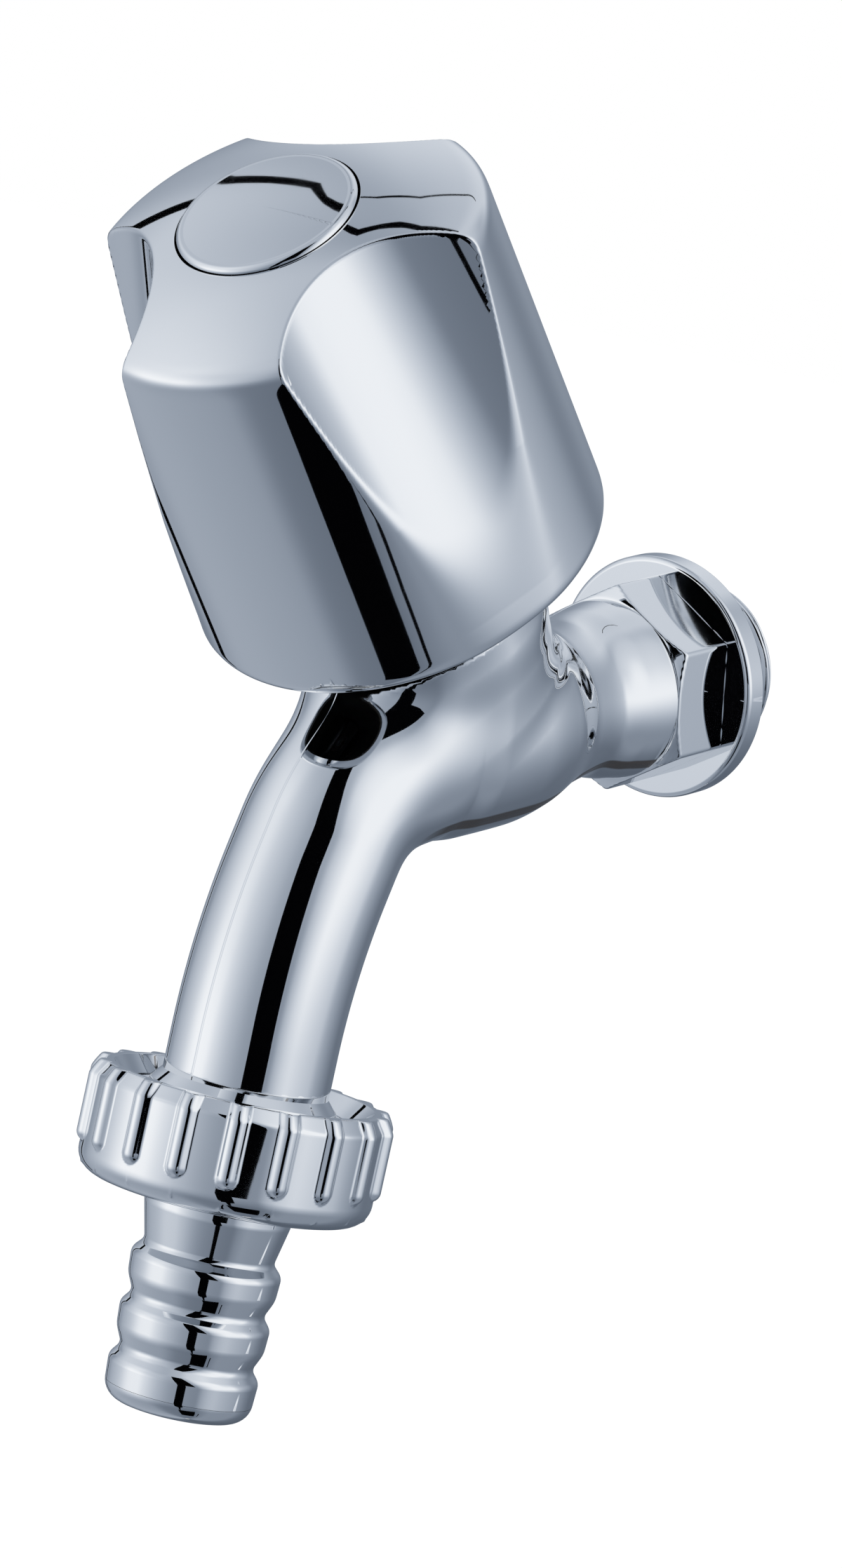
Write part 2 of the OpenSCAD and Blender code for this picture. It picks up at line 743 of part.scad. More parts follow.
// Hose tail: a flange held in the nut, a tapered neck and sawtooth ridges
module hose_tail() {
    ridge_at = [for (i = [0 : tail_ridges - 1]) tail_first - i * tail_pitch];
    tip = 2.4;
    color("gainsboro")
        on_outlet()
            rotate_extrude()
                polygon(concat(
                    [[tail_bore_r, tail_seat], [tail_flange_r, tail_seat], [tail_flange_r, nut_floor]],
                    [[tail_neck_r, nut_floor], [tail_neck_r, -1.8],
                     [tail_groove_r - 0.1, tail_first + 1.5]],
                    [for (i = [0 : tail_ridges - 2]) each [
                        [tail_ridge_r - 0.3, ridge_at[i] + 0.1],
                        [tail_ridge_r, ridge_at[i] - 0.4],
                        [tail_groove_r, ridge_at[i] - tail_pitch + 1.8]
                    ]],
                    [[tail_ridge_r - 0.3, ridge_at[tail_ridges - 1] + 0.1]],
                    [[tail_ridge_r, ridge_at[tail_ridges - 1] - 0.4]],
                    arc([tail_ridge_r - tip, tail_end + tip], tip, 0, -90, 8),
                    [[tail_bore_r, tail_end]]
                ));
}

module tail_washer() {
    color("#202020")
        on_outlet()
            tube(tail_flange_r, tail_bore_r + 0.8, tail_seat, outlet_face);
}

body();
wall_flange();
seat_ring();
bonnet_gasket();
bonnet();
slip_washer();
jumper();
seat_washer();
washer_nut();
spindle();
spindle_o_rings();
retaining_clip();
knob_insert();
knob_shell();
lock_washer();
knob_screw();
knob_cap();
union_nut();
hose_tail();
tail_washer();
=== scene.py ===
"""Looks for the utility sink tap: a chromed casting, a three-lobed knob and a union nut.

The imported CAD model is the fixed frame. The casting, flange, knob, cap, nut and hose tail get
finely drawn skins that stand for their CAD nodes, and the pieces inside keep their CAD form.
All sizes are in millimetres until a mesh is made, and the axes are the part's own: +Y into the
wall, +Z up, with the origin on the inlet's axis in the plane of the wall.
"""
import logging
import math
from collections.abc import Callable, Sequence
from dataclasses import dataclass
from enum import Enum

import bpy
import numpy as np
from mathutils import Matrix, Vector


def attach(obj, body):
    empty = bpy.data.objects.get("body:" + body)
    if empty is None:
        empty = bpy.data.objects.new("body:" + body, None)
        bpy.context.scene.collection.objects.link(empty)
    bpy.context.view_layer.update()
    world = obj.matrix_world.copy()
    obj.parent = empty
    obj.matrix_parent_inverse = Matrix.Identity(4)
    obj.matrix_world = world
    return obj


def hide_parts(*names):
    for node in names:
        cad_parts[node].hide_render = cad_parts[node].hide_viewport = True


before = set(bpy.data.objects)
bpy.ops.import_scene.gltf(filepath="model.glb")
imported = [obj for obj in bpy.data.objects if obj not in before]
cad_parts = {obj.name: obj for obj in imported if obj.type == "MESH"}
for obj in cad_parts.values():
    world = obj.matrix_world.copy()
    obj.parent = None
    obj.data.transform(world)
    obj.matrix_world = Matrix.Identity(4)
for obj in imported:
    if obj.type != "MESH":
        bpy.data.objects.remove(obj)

LOG = logging.getLogger("sink_tap")
MM = 0.001
FILLET_STEP = 9.0  # most degrees of a fillet between two of its points
HALVINGS = 32  # of the stretch in which a ray leaves a solid
SETTLINGS = 4  # passes that lay a net on the skin it wraps

Array = np.ndarray
Field = Callable[[Array], Array]
Place = tuple[float, float, float]
Tree = bpy.types.NodeTree
Socket = bpy.types.NodeSocket


# Sums on curves and solids


def smooth_min(a: Array, b: Array, width: float | Array) -> Array:
    """Joins two solids with a fillet whose curvature fades in.

    Args:
        a: Signed distances to the first solid.
        b: Signed distances to the second solid.
        width: How far apart the two may be where the fillet begins, in mm.

    Returns:
        Signed distances to the joined solid.
    """
    share = np.maximum(width - np.abs(a - b), 0.0) / width
    return np.minimum(a, b) - share**3 * width / 6


def smooth_max(a: Array, b: Array, width: float | Array) -> Array:
    """Cuts two solids down to what they share, with a rounded edge. See smooth_min."""
    return -smooth_min(-a, -b, width)


def gradient(solid: Field, points: Array, step: float = 0.02) -> Array:
    """Slope of a signed distance at each point, from central differences.

    Args:
        solid: Signed distance to a solid.
        points: Where the slope is wanted, in mm.
        step: Half the stretch that a difference spans, in mm.

    Returns:
        The three parts of the slope at each point.
    """
    slope = np.empty_like(points)
    for axis in range(3):
        shift = np.zeros(3)
        shift[axis] = step
        slope[:, axis] = solid(points + shift) - solid(points - shift)
    return slope / (2 * step)


def unit(vectors: Array) -> Array:
    """The same vectors, each one long."""
    return vectors / np.maximum(np.linalg.norm(vectors, axis=-1, keepdims=True), 1e-12)


@dataclass(frozen=True)
class SmoothCurve:
    """A radius or a shade that changes smoothly along an axis.

    Attributes:
        stations: Places along the axis, rising.
        values: The value at each station.
    """

    stations: tuple[float, ...]
    values: tuple[float, ...]

    def __call__(self, along: Array) -> Array:
        """Value at each place, by cubic pieces that overshoot at no station.

        Args:
            along: Places on the axis. Past its ends they take the value of the end.

        Returns:
            The values.
        """
        x, y = np.array(self.stations), np.array(self.values)
        span = np.diff(x)
        chord = np.diff(y) / span
        slope = np.zeros_like(y)
        same_way = chord[:-1] * chord[1:] > 0
        total = np.where(same_way, chord[:-1] + chord[1:], 1.0)
        slope[1:-1] = np.where(same_way, 2 * chord[:-1] * chord[1:] / total, 0.0)
        at = np.clip(along, x[0], x[-1])
        i = np.clip(np.searchsorted(x, at, side="right") - 1, 0, len(x) - 2)
        t = (at - x[i]) / span[i]
        return (
            y[i] * (1 + 2 * t) * (1 - t) ** 2
            + y[i + 1] * t * t * (3 - 2 * t)
            + slope[i] * span[i] * t * (1 - t) ** 2
            + slope[i + 1] * span[i] * t * t * (t - 1)
        )


@dataclass(frozen=True)
class Axis:
    """One of the tap's three axes, as a frame of its own.

    Attributes:
        origin: Where station 0 lies, in mm.
        along: Direction of the axis.
    """

    origin: Place
    along: Place

    @property
    def basis(self) -> Array:
        """Rows: local x, which is the part's own, y and z in the part's axes."""
        x, z = np.array([1.0, 0.0, 0.0]), unit(np.array(self.along))
        return np.array([x, np.cross(z, x), z])

    def to_local(self, points: Array) -> Array:
        """Points of the part, in this frame."""
        return (points - np.array(self.origin)) @ self.basis.T

    def to_part(self, points: Array) -> Array:
        """Points of this frame, in the part's axes."""
        return points @ self.basis + np.array(self.origin)

    def turn_to_part(self, vectors: Array) -> Array:
        """Directions of this frame, in the part's axes."""
        return vectors @ self.basis


@dataclass(frozen=True)
class Corner:
    """A corner of a turned profile.

    Attributes:
        r: Radius, in mm.
        z: Station along the axis, in mm.
        round: Radius of the fillet that blunts the corner, in mm.
    """

    r: float
    z: float
    round: float = 0.0


def rounded_profile(corners: Sequence[Corner], pitch: float = 0.0) -> tuple[Array, Array]:
    """Draws a profile with a fillet at each corner and its normals.

    Args:
        corners: The corners in order, with the solid on the left of the way along them.
        pitch: Longest gap between points on a straight, or 0 to leave straights whole.

    Returns:
        The points as rows of (r, z), and the normal at each.
    """
    points: list[Array] = []
    normals: list[Array] = []

    def put(point: Array, way: Array) -> None:
        """Keeps a point and the normal of the way through it."""
        points.append(point)
        normals.append(np.array([way[1], -way[0]]))

    def turned(vector: Array, angle: float) -> Array:
        """A vector of the profile's plane, turned by an angle."""
        c, s = math.cos(angle), math.sin(angle)
        return np.array([c * vector[0] - s * vector[1], s * vector[0] + c * vector[1]])

    xy = [np.array([c.r, c.z]) for c in corners]
    last = xy[0]
    for i in range(1, len(corners)):
        way = (xy[i] - xy[i - 1]) / np.linalg.norm(xy[i] - xy[i - 1])
        end, turn, turn_steps = xy[i], 0.0, 0
        if i < len(corners) - 1 and corners[i].round > 0:
            after = (xy[i + 1] - xy[i]) / np.linalg.norm(xy[i + 1] - xy[i])
            turn = math.atan2(way[0] * after[1] - way[1] * after[0], float(way @ after))
            end = xy[i] - way * (corners[i].round * abs(math.tan(turn / 2)))
            turn_steps = max(3, int(abs(math.degrees(turn)) / FILLET_STEP))
        count = max(1, int(np.linalg.norm(end - last) / pitch)) if pitch else 1
        for k in range(count + 1):
            put(last + (end - last) * k / count, way)
        last = end
        centre = end + math.copysign(corners[i].round, turn) * np.array([-way[1], way[0]])
        for k in range(1, turn_steps + 1):
            last = centre + turned(end - centre, turn * k / turn_steps)
            put(last, turned(way, turn * k / turn_steps))
    return np.array(points), np.array(normals)


def sink_rays(solid: Field, origins: Array, ways: Array, reach: float) -> Array:
    """Finds where rays from inside a solid leave it, by halving the stretch that holds the skin.

    Args:
        solid: Signed distance to the solid.
        origins: Start of each ray, inside the solid.
        ways: Direction of each ray.
        reach: Length of the rays, in mm.

    Returns:
        The point of the skin on each ray.
    """
    near, far = np.zeros(len(origins)), np.full(len(origins), reach)
    for _ in range(HALVINGS):
        middle = 0.5 * (near + far)
        inside = solid(origins + ways * middle[:, None]) < 0
        near, far = np.where(inside, middle, near), np.where(inside, far, middle)
    return origins + ways * near[:, None]


def cell_crossings(grid: Array, value: Array) -> tuple[Array, Array]:
    """Finds where a skin passes through the cells of a grid.

    Args:
        grid: The grid's points, by their three indices.
        value: Signed distance at each of them.

    Returns:
        Sum of the places where the skin crosses each cell's edges, and their number.
    """
    cells = tuple(n - 1 for n in value.shape)
    total, count = np.zeros((*cells, 3)), np.zeros(cells)

    def pick(data: Array, offset: Sequence[int]) -> Array:
        """The grid's data at one corner of every cell."""
        return data[tuple(slice(o, o + n) for o, n in zip(offset, cells))]

    for axis in range(3):
        for u, v in ((0, 0), (0, 1), (1, 0), (1, 1)):
            start, stop = [u, v], [u, v]
            start.insert(axis, 0)
            stop.insert(axis, 1)
            a, b = pick(value, start), pick(value, stop)
            crossed = (a < 0) != (b < 0)
            share = np.where(crossed, a / np.where(crossed, a - b, 1.0), 0.0)
            p, q = pick(grid, start), pick(grid, stop)
            total += np.where(crossed[..., None], p + (q - p) * share[..., None], 0.0)
            count += crossed
    return total, count


def net_faces(value: Array, index: Array) -> list[list[int]]:
    """Spans a face between the four cells round each edge that the skin crosses.

    Args:
        value: Signed distance at each point of the grid.
        index: Number of the point in each cell.

    Returns:
        Lists of point numbers, wound outwards.
    """
    faces: list[Array] = []
    for axis in range(3):
        one, two = (axis + 1) % 3, (axis + 2) % 3
        first = [slice(1, -1)] * 3
        second = [slice(1, -1)] * 3
        first[axis], second[axis] = slice(0, -1), slice(1, None)
        a, b = value[tuple(first)], value[tuple(second)]
        ring = []
        for u, v in ((1, 1), (0, 1), (0, 0), (1, 0)):
            around = [slice(None)] * 3
            around[one] = slice(1 - u, index.shape[one] - u)
            around[two] = slice(1 - v, index.shape[two] - v)
            ring.append(index[tuple(around)])
        quads = np.stack(ring, -1)
        faces.append(quads[(a < 0) & (b >= 0)])
        faces.append(quads[(a >= 0) & (b < 0)][:, ::-1])
    return np.concatenate(faces).tolist()


def net_of(solid: Field, low: Array, high: Array, step: float) -> tuple[Array, list, Array]:
    """Wraps a solid in a net of four-sided faces that lies on its skin.

    Args:
        solid: Signed distance to the solid.
        low: Lowest corner of a box round it, in mm.
        high: Highest corner of that box.
        step: Size of the net's mesh, in mm.

    Returns:
        Points, faces and the normal at each point.
    """
    axes = [np.arange(a, b + step, step) for a, b in zip(low, high)]
    grid = np.stack(np.meshgrid(*axes, indexing="ij"), -1)
    value = solid(grid.reshape(-1, 3)).reshape(grid.shape[:3])
    total, count = cell_crossings(grid, value)
    used = count > 0
    index = np.full(used.shape, -1)
    index[used] = np.arange(int(used.sum()))
    points = total[used] / count[used][:, None]
    for _ in range(SETTLINGS):
        slope = gradient(solid, points)
        steepness = np.maximum((slope**2).sum(1), 1e-6)
        points = points - slope * (solid(points) / steepness)[:, None]
    return points, net_faces(value, index), unit(gradient(solid, points))


# Meshes


def make_piece(
    name: str, points: Array, faces: list, normals: Array | None = None
) -> bpy.types.Object:
    """Makes a smooth-shaded mesh object from points in mm.

    Args:
        name: Name of the piece.
        points: Points in the part's axes, in mm.
        faces: Lists of point numbers, wound the same way round.
        normals: Normal at each point, or None to let the mesh work them out.

    Returns:
        The new object, linked to the scene.
    """
    mesh = bpy.data.meshes.new(name)
    mesh.from_pydata((points * MM).tolist(), [], faces)
    mesh.shade_smooth()
    if normals is not None:
        mesh.normals_split_custom_set_from_vertices(normals.tolist())
    mesh.validate(clean_customdata=False)
    piece = bpy.data.objects.new(name, mesh)
    bpy.context.scene.collection.objects.link(piece)
    LOG.info("%s: %d faces", name, len(mesh.polygons))
    return piece


def grid_faces(rows: int, columns: int) -> list[list[int]]:
    """Faces of a grid that closes on itself across its columns.

    Args:
        rows: Number of rows of points.
        columns: Number of points in a row.

    Returns:
        Lists of point numbers.
    """
    i, j = np.meshgrid(np.arange(rows - 1), np.arange(columns), indexing="ij")
    here, beside = i * columns + j, i * columns + (j + 1) % columns
    return np.stack([here, beside, beside + columns, here + columns], -1).reshape(-1, 4).tolist()


def reversed_faces(faces: list[list[int]]) -> list[list[int]]:
    """The same faces, wound the other way round."""
    return [face[::-1] for face in faces]


def spun(across: Array, along: Array, columns: int) -> Array:
    """Turns a profile about local z, row by row.

    Args:
        across: Distance from the axis, or that part of a normal, with a row for each ring.
        along: Station on the axis, or that part of a normal.
        columns: Number of steps round the axis.

    Returns:
        The points, or the normals, of all rings.
    """
    angle = np.arange(columns) * 2 * math.pi / columns
    flat = across * np.cos(angle), across * np.sin(angle)
    return np.stack([*flat, along + 0 * flat[0]], -1).reshape(-1, 3)


def turned_profile(name: str, profile: Array, slope: Array, axis: Axis, columns: int) -> bpy.types.Object:
    """Turns a profile's points and normals about an axis into a piece.

    Args:
        name: Name of the piece.
        profile: Points as rows of (r, z), in mm.
        slope: Normal at each.
        axis: The axis.
        columns: Number of steps round it.

    Returns:
        The piece.
    """
    points = axis.to_part(spun(profile[:, :1], profile[:, 1:], columns))
    normals = axis.turn_to_part(spun(slope[:, :1], slope[:, 1:], columns))
    return make_piece(name, points, grid_faces(len(profile), columns), normals)


def turned_piece(name: str, corners: Sequence[Corner], axis: Axis, columns: int = 180) -> bpy.types.Object:
    """Turns a filleted profile about an axis into a piece with true normals."""
    return turned_profile(name, *rounded_profile(corners), axis, columns)


def grid_normals(points: Array, rows: int, columns: int) -> Array:
    """Normals of a closed grid, from the way its points run.

    Args:
        points: The points, row by row.
        rows: Number of rows.
        columns: Number of points in a row.

    Returns:
        The normal at each point.
    """
    net = points.reshape(rows, columns, 3)
    down = np.gradient(net, axis=0)
    round_ = np.roll(net, -1, axis=1) - np.roll(net, 1, axis=1)
    return unit(np.cross(round_, down).reshape(-1, 3))


# Finishes


def linear_light(seen: Array) -> Array:
    """Turns sRGB values from 0 to 1 to linear light."""
    return np.where(seen <= 0.04045, seen / 12.92, ((seen + 0.055) / 1.055) ** 2.4)


def colour(code: str) -> tuple[float, ...]:
    """Turns an sRGB hex colour, with its hash, to linear red, green, blue and alpha."""
    parts = np.array([int(code[i : i + 2], 16) / 255 for i in (1, 3, 5)])
    return (*linear_light(parts).tolist(), 1.0)


def blank_tree(owner: bpy.types.Material | bpy.types.World) -> Tree:
    """Gives a material or a world an empty node tree.

    Args:
        owner: The material or the world.

    Returns:
        Its tree.
    """
    owner.use_nodes = True
    owner.node_tree.nodes.clear()
    return owner.node_tree


def add_node(tree: Tree, kind: str, links: dict | None = None, **settings: object) -> bpy.types.Node:
    """Adds a shader node with its settings and links.

    Args:
        tree: The tree that it goes into.
        kind: Type of the node.
        links: Input name or number to a value or to the socket that feeds it.
        **settings: Attributes of the node.

    Returns:
        The new node.
    """
    node = tree.nodes.new(kind)
    for key, value in settings.items():
        setattr(node, key, value)
    for key, value in (links or {}).items():
        if isinstance(value, Socket):
            tree.links.new(value, node.inputs[key])
        else:
            node.inputs[key].default_value = value
    return node


def reckon(tree: Tree, operation: str, a: Socket, b: Socket | float = 0.0, **settings: object) -> Socket:
    """Result of one sum on one or two values."""
    return add_node(tree, "ShaderNodeMath", {0: a, 1: b}, operation=operation, **settings).outputs[0]


def spread(
    tree: Tree, value: Socket, old: tuple[float, float], new: tuple[float, float], **settings: object
) -> Socket:
    """Maps a value's old stretch onto a new one."""
    inputs = {0: value, 1: old[0], 2: old[1], 3: new[0], 4: new[1]}
    return add_node(tree, "ShaderNodeMapRange", inputs, **settings).outputs[0]


def tinted(tree: Tree, share: Socket, clean: tuple, marked: tuple) -> Socket:
    """The clean colour, with a share of the marked one."""
    inputs = {0: share, 6: clean, 7: marked}
    return add_node(tree, "ShaderNodeMix", inputs, data_type="RGBA").outputs[2]


def raise_surface(shader: bpy.types.Node, height: Socket, depth: float, strength: float = 1.0) -> None:
    """Adds a relief to a shader, on top of any that it has.

    Args:
        shader: The shader.
        height: The relief's pattern, from 0 to 1.
        depth: Its depth, in mm.
        strength: Share of the relief that shows.
    """
    tree, normal = shader.id_data, shader.inputs["Normal"]
    inputs = {"Height": height, "Distance": depth * MM, "Strength": strength}
    if normal.is_linked:
        inputs["Normal"] = normal.links[0].from_socket
    tree.links.new(add_node(tree, "ShaderNodeBump", inputs).outputs[0], normal)


@dataclass(frozen=True)
class Finish:
    """What a surface is made of.

    Attributes:
        name: Common name of the material and how it was made.
        base: Its colour, as sRGB hex.
        roughness: Roughness of a clean patch.
        metallic: 1 for a metal and 0 otherwise.
    """

    name: str
    base: str
    roughness: float
    metallic: float = 1.0

    def build(self) -> bpy.types.Material:
        """Makes the material.

        Returns:
            The material, with the marks of its making.
        """
        material = bpy.data.materials.new(self.name)
        tree = blank_tree(material)
        inputs = {"Base Color": colour(self.base), "Roughness": self.roughness, "Metallic": self.metallic}
        shader = add_node(tree, "ShaderNodeBsdfPrincipled", inputs)
        add_node(tree, "ShaderNodeOutputMaterial", {"Surface": shader.outputs[0]})
        self.texture(tree, shader)
        return material

    def texture(self, tree: Tree, shader: bpy.types.Node) -> None:
        """Adds the marks of the finish, of which a plain one has none."""

    def millimetres(self, tree: Tree) -> Socket:
        """Place on the object, in mm."""
        inputs = {0: add_node(tree, "ShaderNodeTexCoord").outputs["Object"], 1: (1000, 1000, 1000)}
        return add_node(tree, "ShaderNodeVectorMath", inputs, operation="MULTIPLY").outputs[0]

    def cloud(self, tree: Tree, size: float, detail: float = 2.0) -> Socket:
        """A cloudy pattern whose blots are about size mm across."""
        inputs = {"Vector": self.millimetres(tree), "Scale": 1 / size, "Detail": detail}
        return add_node(tree, "ShaderNodeTexNoise", inputs).outputs["Fac"]

    def streaks(self, tree: Tree, turn: Place, scale: Place, detail: float) -> Socket:
        """A cloudy pattern that is turned and drawn out.

        Args:
            tree: The material's nodes.
            turn: Turn of the pattern, in radians.
            scale: Blots to each mm, along the turned axes.
            detail: How many times finer blots are added.

        Returns:
            The pattern, as a socket.
        """
        inputs = {"Vector": self.millimetres(tree), "Rotation": turn, "Scale": scale}
        drawn = add_node(tree, "ShaderNodeMapping", inputs).outputs[0]
        inputs = {"Vector": drawn, "Scale": 1.0, "Detail": detail}
        return add_node(tree, "ShaderNodeTexNoise", inputs).outputs["Fac"]

    def uneven(self, tree: Tree, pattern: Socket, least: float, most: float) -> Socket:
        """The roughness, from least to most times its clean value by a cloudy pattern."""
        return spread(tree, pattern, (0.3, 0.7), (self.roughness * least, self.roughness * most))


@dataclass(frozen=True)
class Chrome(Finish):
    """Bright chrome plate on buffed metal.

    Attributes:
        ripple: Height of the slow waves that buffing leaves, in mm.
    """

    ripple: float = 0.004

    def texture(self, tree: Tree, shader: bpy.types.Node) -> None:
        """Adds the plate's haze, its wiping marks and its slow waves.

        Args:
            tree: The material's nodes.
            shader: Its shader.
        """
        # Haze: the bright plate is a little duller in blots of about 9 mm, where it was handled
        haze = self.uneven(tree, self.cloud(tree, 9), 0.8, 1.25)
        # Wiping marks: hairlines 0.05 mm wide, drawn at 0.25 mm so that they show
        hair = self.streaks(tree, (0.5, 0.3, 0.9), (4, 4, 0.12), 3)
        rough = reckon(tree, "ADD", haze, spread(tree, hair, (0.62, 0.75), (0, 0.03)))
        tree.links.new(rough, shader.inputs["Roughness"])
        # Waves: blots of 6 mm, which bend straight reflections a little
        raise_surface(shader, self.cloud(tree, 6, 1), self.ripple)


@dataclass(frozen=True)
class CastChrome(Chrome):
    """Chrome on the casting, with its parting seam and a painted warm reflection on a duller band under the
    belly.

    Attributes:
        seam_width: Width of the parting seam down the spout's front, in mm.
        seam_height: Height of that seam, in mm.
        ground: Colour of the painted reflection in the band under the belly.
        reflection_tilt: How far down the metal faces where the painted reflection runs.
        reflection_y: Where the painted reflection fades out towards the spout, in mm.
    """

    seam_width: float = 0.22
    seam_height: float = 0.03
    # Warm grey-brown of the painted reflection under the belly
    ground: str = "#8c7f74"
    reflection_tilt: float = 0.69
    reflection_y: tuple[float, float] = (-54.0, -50.0)

    def texture(self, tree: Tree, shader: bpy.types.Node) -> None:
        """Adds the plate's marks, the parting seam and the painted reflection under the belly.

        Args:
            tree: The material's nodes.
            shader: Its shader.
        """
        super().texture(tree, shader)
        rough = shader.inputs["Roughness"].links[0].from_socket
        x, y, _ = add_node(tree, "ShaderNodeSeparateXYZ", {0: self.millimetres(tree)}).outputs
        normal = add_node(tree, "ShaderNodeNewGeometry").outputs["Normal"]
        _, normal_y, normal_z = add_node(tree, "ShaderNodeSeparateXYZ", {0: normal}).outputs
        # Parting seam: a fine raised line in the casting's plane of symmetry, on the front only
        width = (0, self.seam_width)
        line = spread(tree, reckon(tree, "ABSOLUTE", x), width, (1, 0), interpolation_type="SMOOTHSTEP")
        front = spread(tree, normal_y, (-0.25, -0.45), (0, 1))
        raise_surface(shader, reckon(tree, "MULTIPLY", line, front), self.seam_height)
        # Painted reflection: where the metal under the belly faces about 44 degrees down, the base colour
        # turns warm grey-brown as if mirroring a warm band below, and the plate there is also duller and
        # streaked
        apart = reckon(tree, "ABSOLUTE", reckon(tree, "ADD", normal_z, self.reflection_tilt))
        down = spread(tree, apart, (0.07, 0.05), (0, 1))
        reflection_mask = reckon(tree, "MULTIPLY", down, spread(tree, y, self.reflection_y, (0, 1)))
        # Painted reflection: the base colour tinted warm grey-brown in that band
        warm = tinted(tree, reflection_mask, colour(self.base), colour(self.ground))
        tree.links.new(warm, shader.inputs["Base Color"])
        grit = self.streaks(tree, (0, 0, 0.7), (2.2, 0.15, 0.15), 4)
        inputs = {0: reflection_mask, 2: rough, 3: spread(tree, grit, (0.3, 0.7), (0.16, 0.42))}
        dull = add_node(tree, "ShaderNodeMix", inputs, data_type="FLOAT").outputs[0]
        tree.links.new(dull, shader.inputs["Roughness"])


@dataclass(frozen=True)
class Machined(Finish):
    """Turned or milled metal with fine tool marks.

    Attributes:
        pitch: Spacing of the tool marks, in mm.
    """

    pitch: float = 0.3

    def texture(self, tree: Tree, shader: bpy.types.Node) -> None:
        """Adds the tool marks and the stains.

        Args:
            tree: The material's nodes.
            shader: Its shader.
        """
        # Tool marks: 0.08 mm apart in truth, drawn coarser so that they show as a soft grain
        grain = self.cloud(tree, self.pitch, 3)
        tree.links.new(self.uneven(tree, grain, 0.7, 1.5), shader.inputs["Roughness"])
        raise_surface(shader, grain, 0.01, 0.6)
        # Stains: blots of 5 mm in which the metal is a fifth darker
        base = colour(self.base)
        stain = tinted(tree, self.cloud(tree, 5), base, (*(0.8 * c for c in base[:3]), 1.0))
        tree.links.new(stain, shader.inputs["Base Color"])


@dataclass(frozen=True)
class Moulded(Finish):
    """Moulded nylon, resin or rubber with a fine skin texture.

    Attributes:
        metallic: 0, as for all that isn't metal.
        grain: Size of the skin's texture, in mm.
    """

    metallic: float = 0.0
    grain: float = 0.4

    def texture(self, tree: Tree, shader: bpy.types.Node) -> None:
        """Adds the mould's fine skin.

        Args:
            tree: The material's nodes.
            shader: Its shader.
        """
        skin = self.cloud(tree, self.grain, 2)
        tree.links.new(self.uneven(tree, skin, 0.9, 1.15), shader.inputs["Roughness"])
        raise_surface(shader, skin, 0.02, 0.5)


class Material(Enum):
    """The finishes that the tap's pieces take."""

    # Bright chrome: a clean mirror with a faint blue cast
    CHROME = Chrome("bright_chrome_plate", "#f4f5f6", 0.03)
    # The casting's chrome: the same mirror with a parting seam, and a painted warm reflection on a duller
    # band under the belly
    CASTING = CastChrome("cast_and_plated_chrome", "#f4f5f6", 0.03)
    # Machined brass: warm and softly bright, for the headwork
    BRASS = Machined("machined_brass", "#b99a5b", 0.24)
    # Turned steel: grey and satin, for screw, clip, seat and washer
    STEEL = Machined("turned_stainless_steel", "#9a9da1", 0.3)
    # Black rubber: dull, with a faint moulded skin
    RUBBER = Moulded("moulded_black_rubber", "#161616", 0.6)
    # Nylon: off-white and waxy
    NYLON = Moulded("moulded_nylon", "#dcd9cf", 0.45)
    # Knob's inside and socket: near-black moulded finish, painted shade of the cavity, dark in every
    # reflection of it
    CAVITY_SHADE = Moulded("near_black_cavity_shade", "#0c0c0e", 0.4)


class Workshop:
    """Keeps one material for each finish and dresses pieces in them."""

    def __init__(self) -> None:
        """Starts with no materials made."""
        self._made: dict[Material, bpy.types.Material] = {}

    def dress(self, piece: bpy.types.Object, finish: Material) -> None:
        """Gives a piece one finish all over.

        Args:
            piece: The piece.
            finish: What it is to be dressed in.
        """
        if finish not in self._made:
            self._made[finish] = finish.value.build()
        piece.data.materials.clear()
        piece.data.materials.append(self._made[finish])


# The tap's three axes and its sub-assemblies


def sloped(origin: tuple[float, float], lean: float, sign: float) -> Axis:
    """An axis in the plane of symmetry that leans from the vertical, away from the wall if sign is -1."""
    a = math.radians(lean)
    return Axis((0.0, *origin), (0.0, sign * math.sin(a), math.cos(a)))


@dataclass(frozen=True)
class Layout:
    """Where the tap's axes lie, in mm and degrees.

    Attributes:
        valve_reach: Distance from the wall to the valve's axis.
        valve_lean: Lean of that axis away from the wall.
        spout_reach: Distance from the wall to the spout's upper corner.
        upper_slant: Slant of the spout's upper run.
        upper_run: Length from the upper corner to the lower one.
        outlet_slant: Slant of the outlet.
        lower_run: Length from the lower corner to the nut's underside.
    """

    valve_reach: float = 36.8
    valve_lean: float = 31.4
    spout_reach: float = 56.5
    upper_slant: float = 30.0
    upper_run: float = 24.9
    outlet_slant: float = 14.4
    lower_run: float = 28.3

    @property
    def inlet(self) -> Axis:
        """Station 0 in the wall's plane, stations rising away from the wall."""
        return Axis((0.0, 0.0, 0.0), (0.0, -1.0, 0.0))

    @property
    def valve(self) -> Axis:
        """Station 0 on the inlet's axis, stations rising up the valve."""
        return sloped((-self.valve_reach, 0.0), self.valve_lean, -1.0)

    @property
    def lower_corner(self) -> tuple[float, float]:
        """The spout's lower corner, as (y, z)."""
        a = math.radians(self.upper_slant)
        return (-self.spout_reach - self.upper_run * math.sin(a), -self.upper_run * math.cos(a))

    @property
    def outlet(self) -> Axis:
        """Station 0 at the nut's underside, stations rising up the outlet."""
        a, (y, z) = math.radians(self.outlet_slant), self.lower_corner
        foot = (y - self.lower_run * math.sin(a), z - self.lower_run * math.cos(a))
        return sloped(foot, self.outlet_slant, 1.0)


